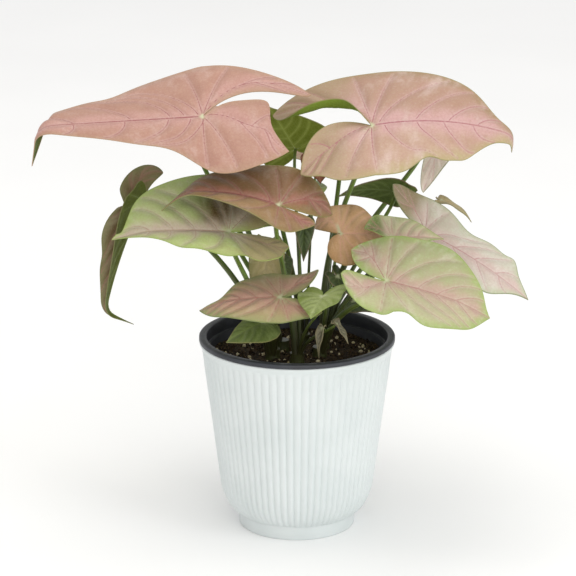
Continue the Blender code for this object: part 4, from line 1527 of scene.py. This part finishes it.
@dataclass(frozen=True)
class NurseryPot:
    """Black nursery pot: thin tapered cup, stepped band, broad rim and drain holes. Sizes in mm."""

    steps: int = 160
    holes: int = 6
    hole_radius: float = 3.5
    hole_circle: float = 28.0
    floor_middle: float = 20.5
    pin_height: float = 4.0

    def profile(self) -> list[Pair]:
        """Draws the outline from the floor's middle inside, up, over the rim and down outside.

        Returns:
            Radius and height of each ring, mm.
        """
        inside = [(20.0, 21.0), (41.5, 21.0), (58.1, 121.8)]
        band = [(58.3, 122.4), (58.8, 122.6), (59.7, 122.6), (60.0, 122.9), (60.0, 130.4)]
        rim = [(60.2, 130.9), (60.7, 131.2), (64.2, 131.2), (64.7, 131.0), (65.0, 130.5)]
        skirt = [(65.0, 128.5), (64.8, 128.3), (61.2, 128.3), (61.0, 128.1), (61.0, 121.6)]
        return inside + band + rim + skirt + [(59.4, 121.6), (42.5, 20.0), (20.0, 20.0)]

    def drain(self, cup: Object) -> None:
        """Cuts the round drain holes through the floor.

        Args:
            cup: The turned cup.
        """
        pins = []
        for i in range(self.holes):
            turn = math.tau * i / self.holes
            x, y = math.cos(turn) * self.hole_circle, math.sin(turn) * self.hole_circle
            clear_selection()
            bpy.ops.mesh.primitive_cylinder_add(
                vertices=32,
                radius=self.hole_radius * MM,
                depth=self.pin_height * MM,
                location=Vector((x, y, self.floor_middle)) * MM,
            )
            pins.append(bpy.context.object)
        cutter = join(pins)
        cut = {"object": cutter, "operation": "DIFFERENCE", "solver": "EXACT"}
        finish_with(cup, "BOOLEAN", cut)
        bpy.data.objects.remove(cutter)

    def build(self) -> None:
        """Turns the cup and drains it."""
        cup = turned(self.profile(), self.steps)
        self.drain(cup)
        cup.data.materials.append(BLACK_PLASTIC.material())
        hand_over(cup, "nursery_pot_cup", 40, "pot_liner")


@dataclass(frozen=True)
class PottingMix:
    """Dark peat with crumbs and perlite, level with the liner's stepped band. Sizes in mm."""

    edge: float = 56.9
    foot: float = 41.0
    underside: float = 21.4
    top_share: float = 0.86
    side_share: float = 0.93
    relief: float = 1.6
    kinds: int = 3
    crumb_shape: tuple[int, float, float] = (1, 0.3, 0.7)
    grain_shape: tuple[int, float, float] = (2, 0.14, 0.8)
    clearance: float = 1.2
    lift: float = 0.15
    crumbs: int = 620
    crumb_sizes: Pair = (1.2, 4.2)
    grains: int = 110
    grain_sizes: Pair = (1.3, 3.2)
    seed: int = 7

    def level(self, x: Array, y: Array) -> Array:
        """Height of the soil.

        Args:
            x: Places across the pot, mm.
            y: Places from the front to the back, mm.

        Returns:
            The heights there, mm.
        """
        rise = [
            noise.noise(Vector((a * 0.05, b * 0.05, 0.0)))
            + 0.45 * noise.noise(Vector((a * 0.2, b * 0.2, 3.0)))
            for a, b in zip(x, y)
        ]
        return SOIL_TOP + self.relief * np.array(rise)

    def bed(self) -> Object:
        """Models the plug of soil with its uneven top.

        Returns:
            The plug.
        """

        def place(along: Array, around: Array) -> Array:
            """Gives points of the top, and of the sides and the floor beyond its edge.

            Args:
                along: Shares from the middle of the top to the middle of the underside.
                around: Shares of a turn.

            Returns:
                Rows of x, y, z, mm.
            """
            turn = math.tau * around
            shares = (0, self.top_share, self.side_share, 1)
            radius = np.interp(along, shares, (0, self.edge, self.foot, 0))
            x, y = radius * np.cos(turn), radius * np.sin(turn)
            top = self.level(x, y)
            depth = np.interp(along, shares[1:3], (0, 1))
            return np.stack([x, y, top + (self.underside - top) * depth], -1)

        bed = grid_piece("soil_bed", 100, 120, place)[0]
        edit(bed, weld, bpy.ops.mesh.normals_make_consistent)
        return bed

    def chip(self, shape: tuple[int, float, float], rng: np.random.Generator) -> Object:
        """Models one lump with a broken outline.

        Args:
            shape: How often the first solid is subdivided, how far its points stray as a share,
                and its height as a share of its width.
            rng: Source of the random draws.

        Returns:
            The lump, one unit wide.
        """
        rounds, rough, squash = shape
        clear_selection()
        bpy.ops.mesh.primitive_ico_sphere_add(subdivisions=rounds, radius=0.5)
        lump = bpy.context.object
        points = points_of(lump)
        points *= 1 + rough * rng.uniform(-1, 1, len(points))[:, None]
        points[:, 2] *= squash
        put_points(lump, points)
        return lump

    def scattered(
        self, kinds: list[Object], count: int, sizes: Pair, rng: np.random.Generator
    ) -> list[Object]:
        """Strews copies of lumps over the bed, each a mesh of its own.

        Args:
            kinds: The lumps, one unit wide.
            count: How many copies.
            sizes: Least and greatest width, mm.
            rng: Source of the random draws.

        Returns:
            The copies.
        """
        copies = []
        radius = (self.edge - self.clearance) * np.sqrt(rng.uniform(0, 1, count))
        turn = rng.uniform(0, math.tau, count)
        x, y = radius * np.cos(turn), radius * np.sin(turn)
        z = self.level(x, y)
        for i in range(count):
            size = sizes[0] + (sizes[1] - sizes[0]) * rng.uniform() ** 1.8
            angle = rng.uniform(0, math.tau)
            spin = Matrix.Rotation(angle, 4, Vector(rng.normal(size=3)).normalized())
            shape = Vector((size, size * rng.uniform(0.6, 1), size * rng.uniform(0.6, 1)))
            place = Matrix.Translation(Vector((x[i], y[i], z[i] + self.lift * size)) * MM)
            copy = kinds[i % len(kinds)].copy()
            copy.data = copy.data.copy()
            bpy.context.scene.collection.objects.link(copy)
            copy.data.transform(place @ spin @ Matrix.Diagonal((*(shape * MM), 1)))
            copies.append(copy)
        return copies

    def build(self) -> None:
        """Models the bed with its crumbs and grains as one piece."""
        rng = np.random.default_rng(self.seed)
        bed = self.bed()
        peat, perlite = PEAT.material(), PERLITE.material()
        bed.data.materials.append(peat)
        dark = [self.chip(self.crumb_shape, rng) for _ in range(self.kinds)]
        pale = [self.chip(self.grain_shape, rng) for _ in range(self.kinds)]
        for lump in dark + pale:
            lump.data.materials.append(peat if lump in dark else perlite)
        strewn = self.scattered(dark, self.crumbs, self.crumb_sizes, rng)
        strewn += self.scattered(pale, self.grains, self.grain_sizes, rng)
        for lump in dark + pale:
            bpy.data.objects.remove(lump)
        hand_over(join([bed, *strewn]), "potting_mix_bed", 35, "soil")


# Studio


@dataclass(frozen=True)
class Softbox:
    """Square area light that looks at the plant. Sizes in m and W."""

    name: str
    at: Place
    size: float
    power: float
    colour: str

    def build(self) -> None:
        """Hangs the light and aims it at the plant's middle."""
        clear_selection()
        bpy.ops.object.light_add(type="AREA", location=self.at)
        light = bpy.context.object
        light.name = self.name
        light.data.size, light.data.energy = self.size, self.power
        light.data.color = linear(self.colour)[:3]
        aim = Vector((0, 0, 0.17)) - Vector(self.at)
        light.rotation_euler = aim.to_track_quat("-Z", "Y").to_euler()


@dataclass(frozen=True)
class Studio:
    """Pale floor, soft lights and the camera at the photograph's angle. Sizes in m."""

    camera_at: Place = (-0.006, -2.0947, 0.8035)
    camera_tilt: float = 73.01
    lens: float = 207.3
    sky: float = 0.76
    lights: tuple[Softbox, ...] = (
        Softbox("top_softbox", (-0.2, 0.1, 2.3), 1.5, 14.0, "#FFFCF5"),
        Softbox("front_softbox", (0.3, -2.7, 1.5), 1.8, 22.5, "#FFFBF2"),
        Softbox("right_softbox", (2.0, -1.3, 1.0), 1.3, 14.0, "#FAFDFF"),
    )

    def floor(self) -> None:
        """Lays a wide matt floor, a little uneven in tone like painted board."""
        clear_selection()
        bpy.ops.mesh.primitive_plane_add(size=16.0)
        floor = bpy.context.object
        floor.name = "studio_floor"
        paint = Paint("matt_white_paint", "#FAFAFA")
        paint.coat("#FCFCFC", paint.lumps(300.0, 2.0), 0.3, 0.7)
        floor.data.materials.append(paint.finished({"Roughness": 0.9, "Specular IOR Level": 0.2}))

    def build(self) -> None:
        """Sets up the floor, the lights, the sky and the camera."""
        self.floor()
        scene = bpy.context.scene
        scene.view_settings.view_transform = "Standard"
        world = bpy.data.worlds.new("studio_sky")
        world.use_nodes = True
        sky = world.node_tree.nodes["Background"]
        sky.inputs[0].default_value = linear("#FFFFFF")
        sky.inputs[1].default_value = self.sky
        scene.world = world
        for light in self.lights:
            light.build()
        tilt = math.radians(self.camera_tilt)
        bpy.ops.object.camera_add(location=self.camera_at, rotation=(tilt, 0, 0))
        camera = bpy.context.object
        camera.data.lens, camera.data.sensor_width = self.lens, 36.0
        scene.camera = camera


def main() -> None:
    """Builds the plant from the pots up and reports each piece."""
    logging.basicConfig(level=logging.INFO, format="%(name)s %(message)s")
    for part in (Studio(), CoverPot(), NurseryPot(), PottingMix(), *SHOOTS, *LEAVES):
        part.build()
    clear_selection()
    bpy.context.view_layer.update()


if __name__ == "__main__":
    main()
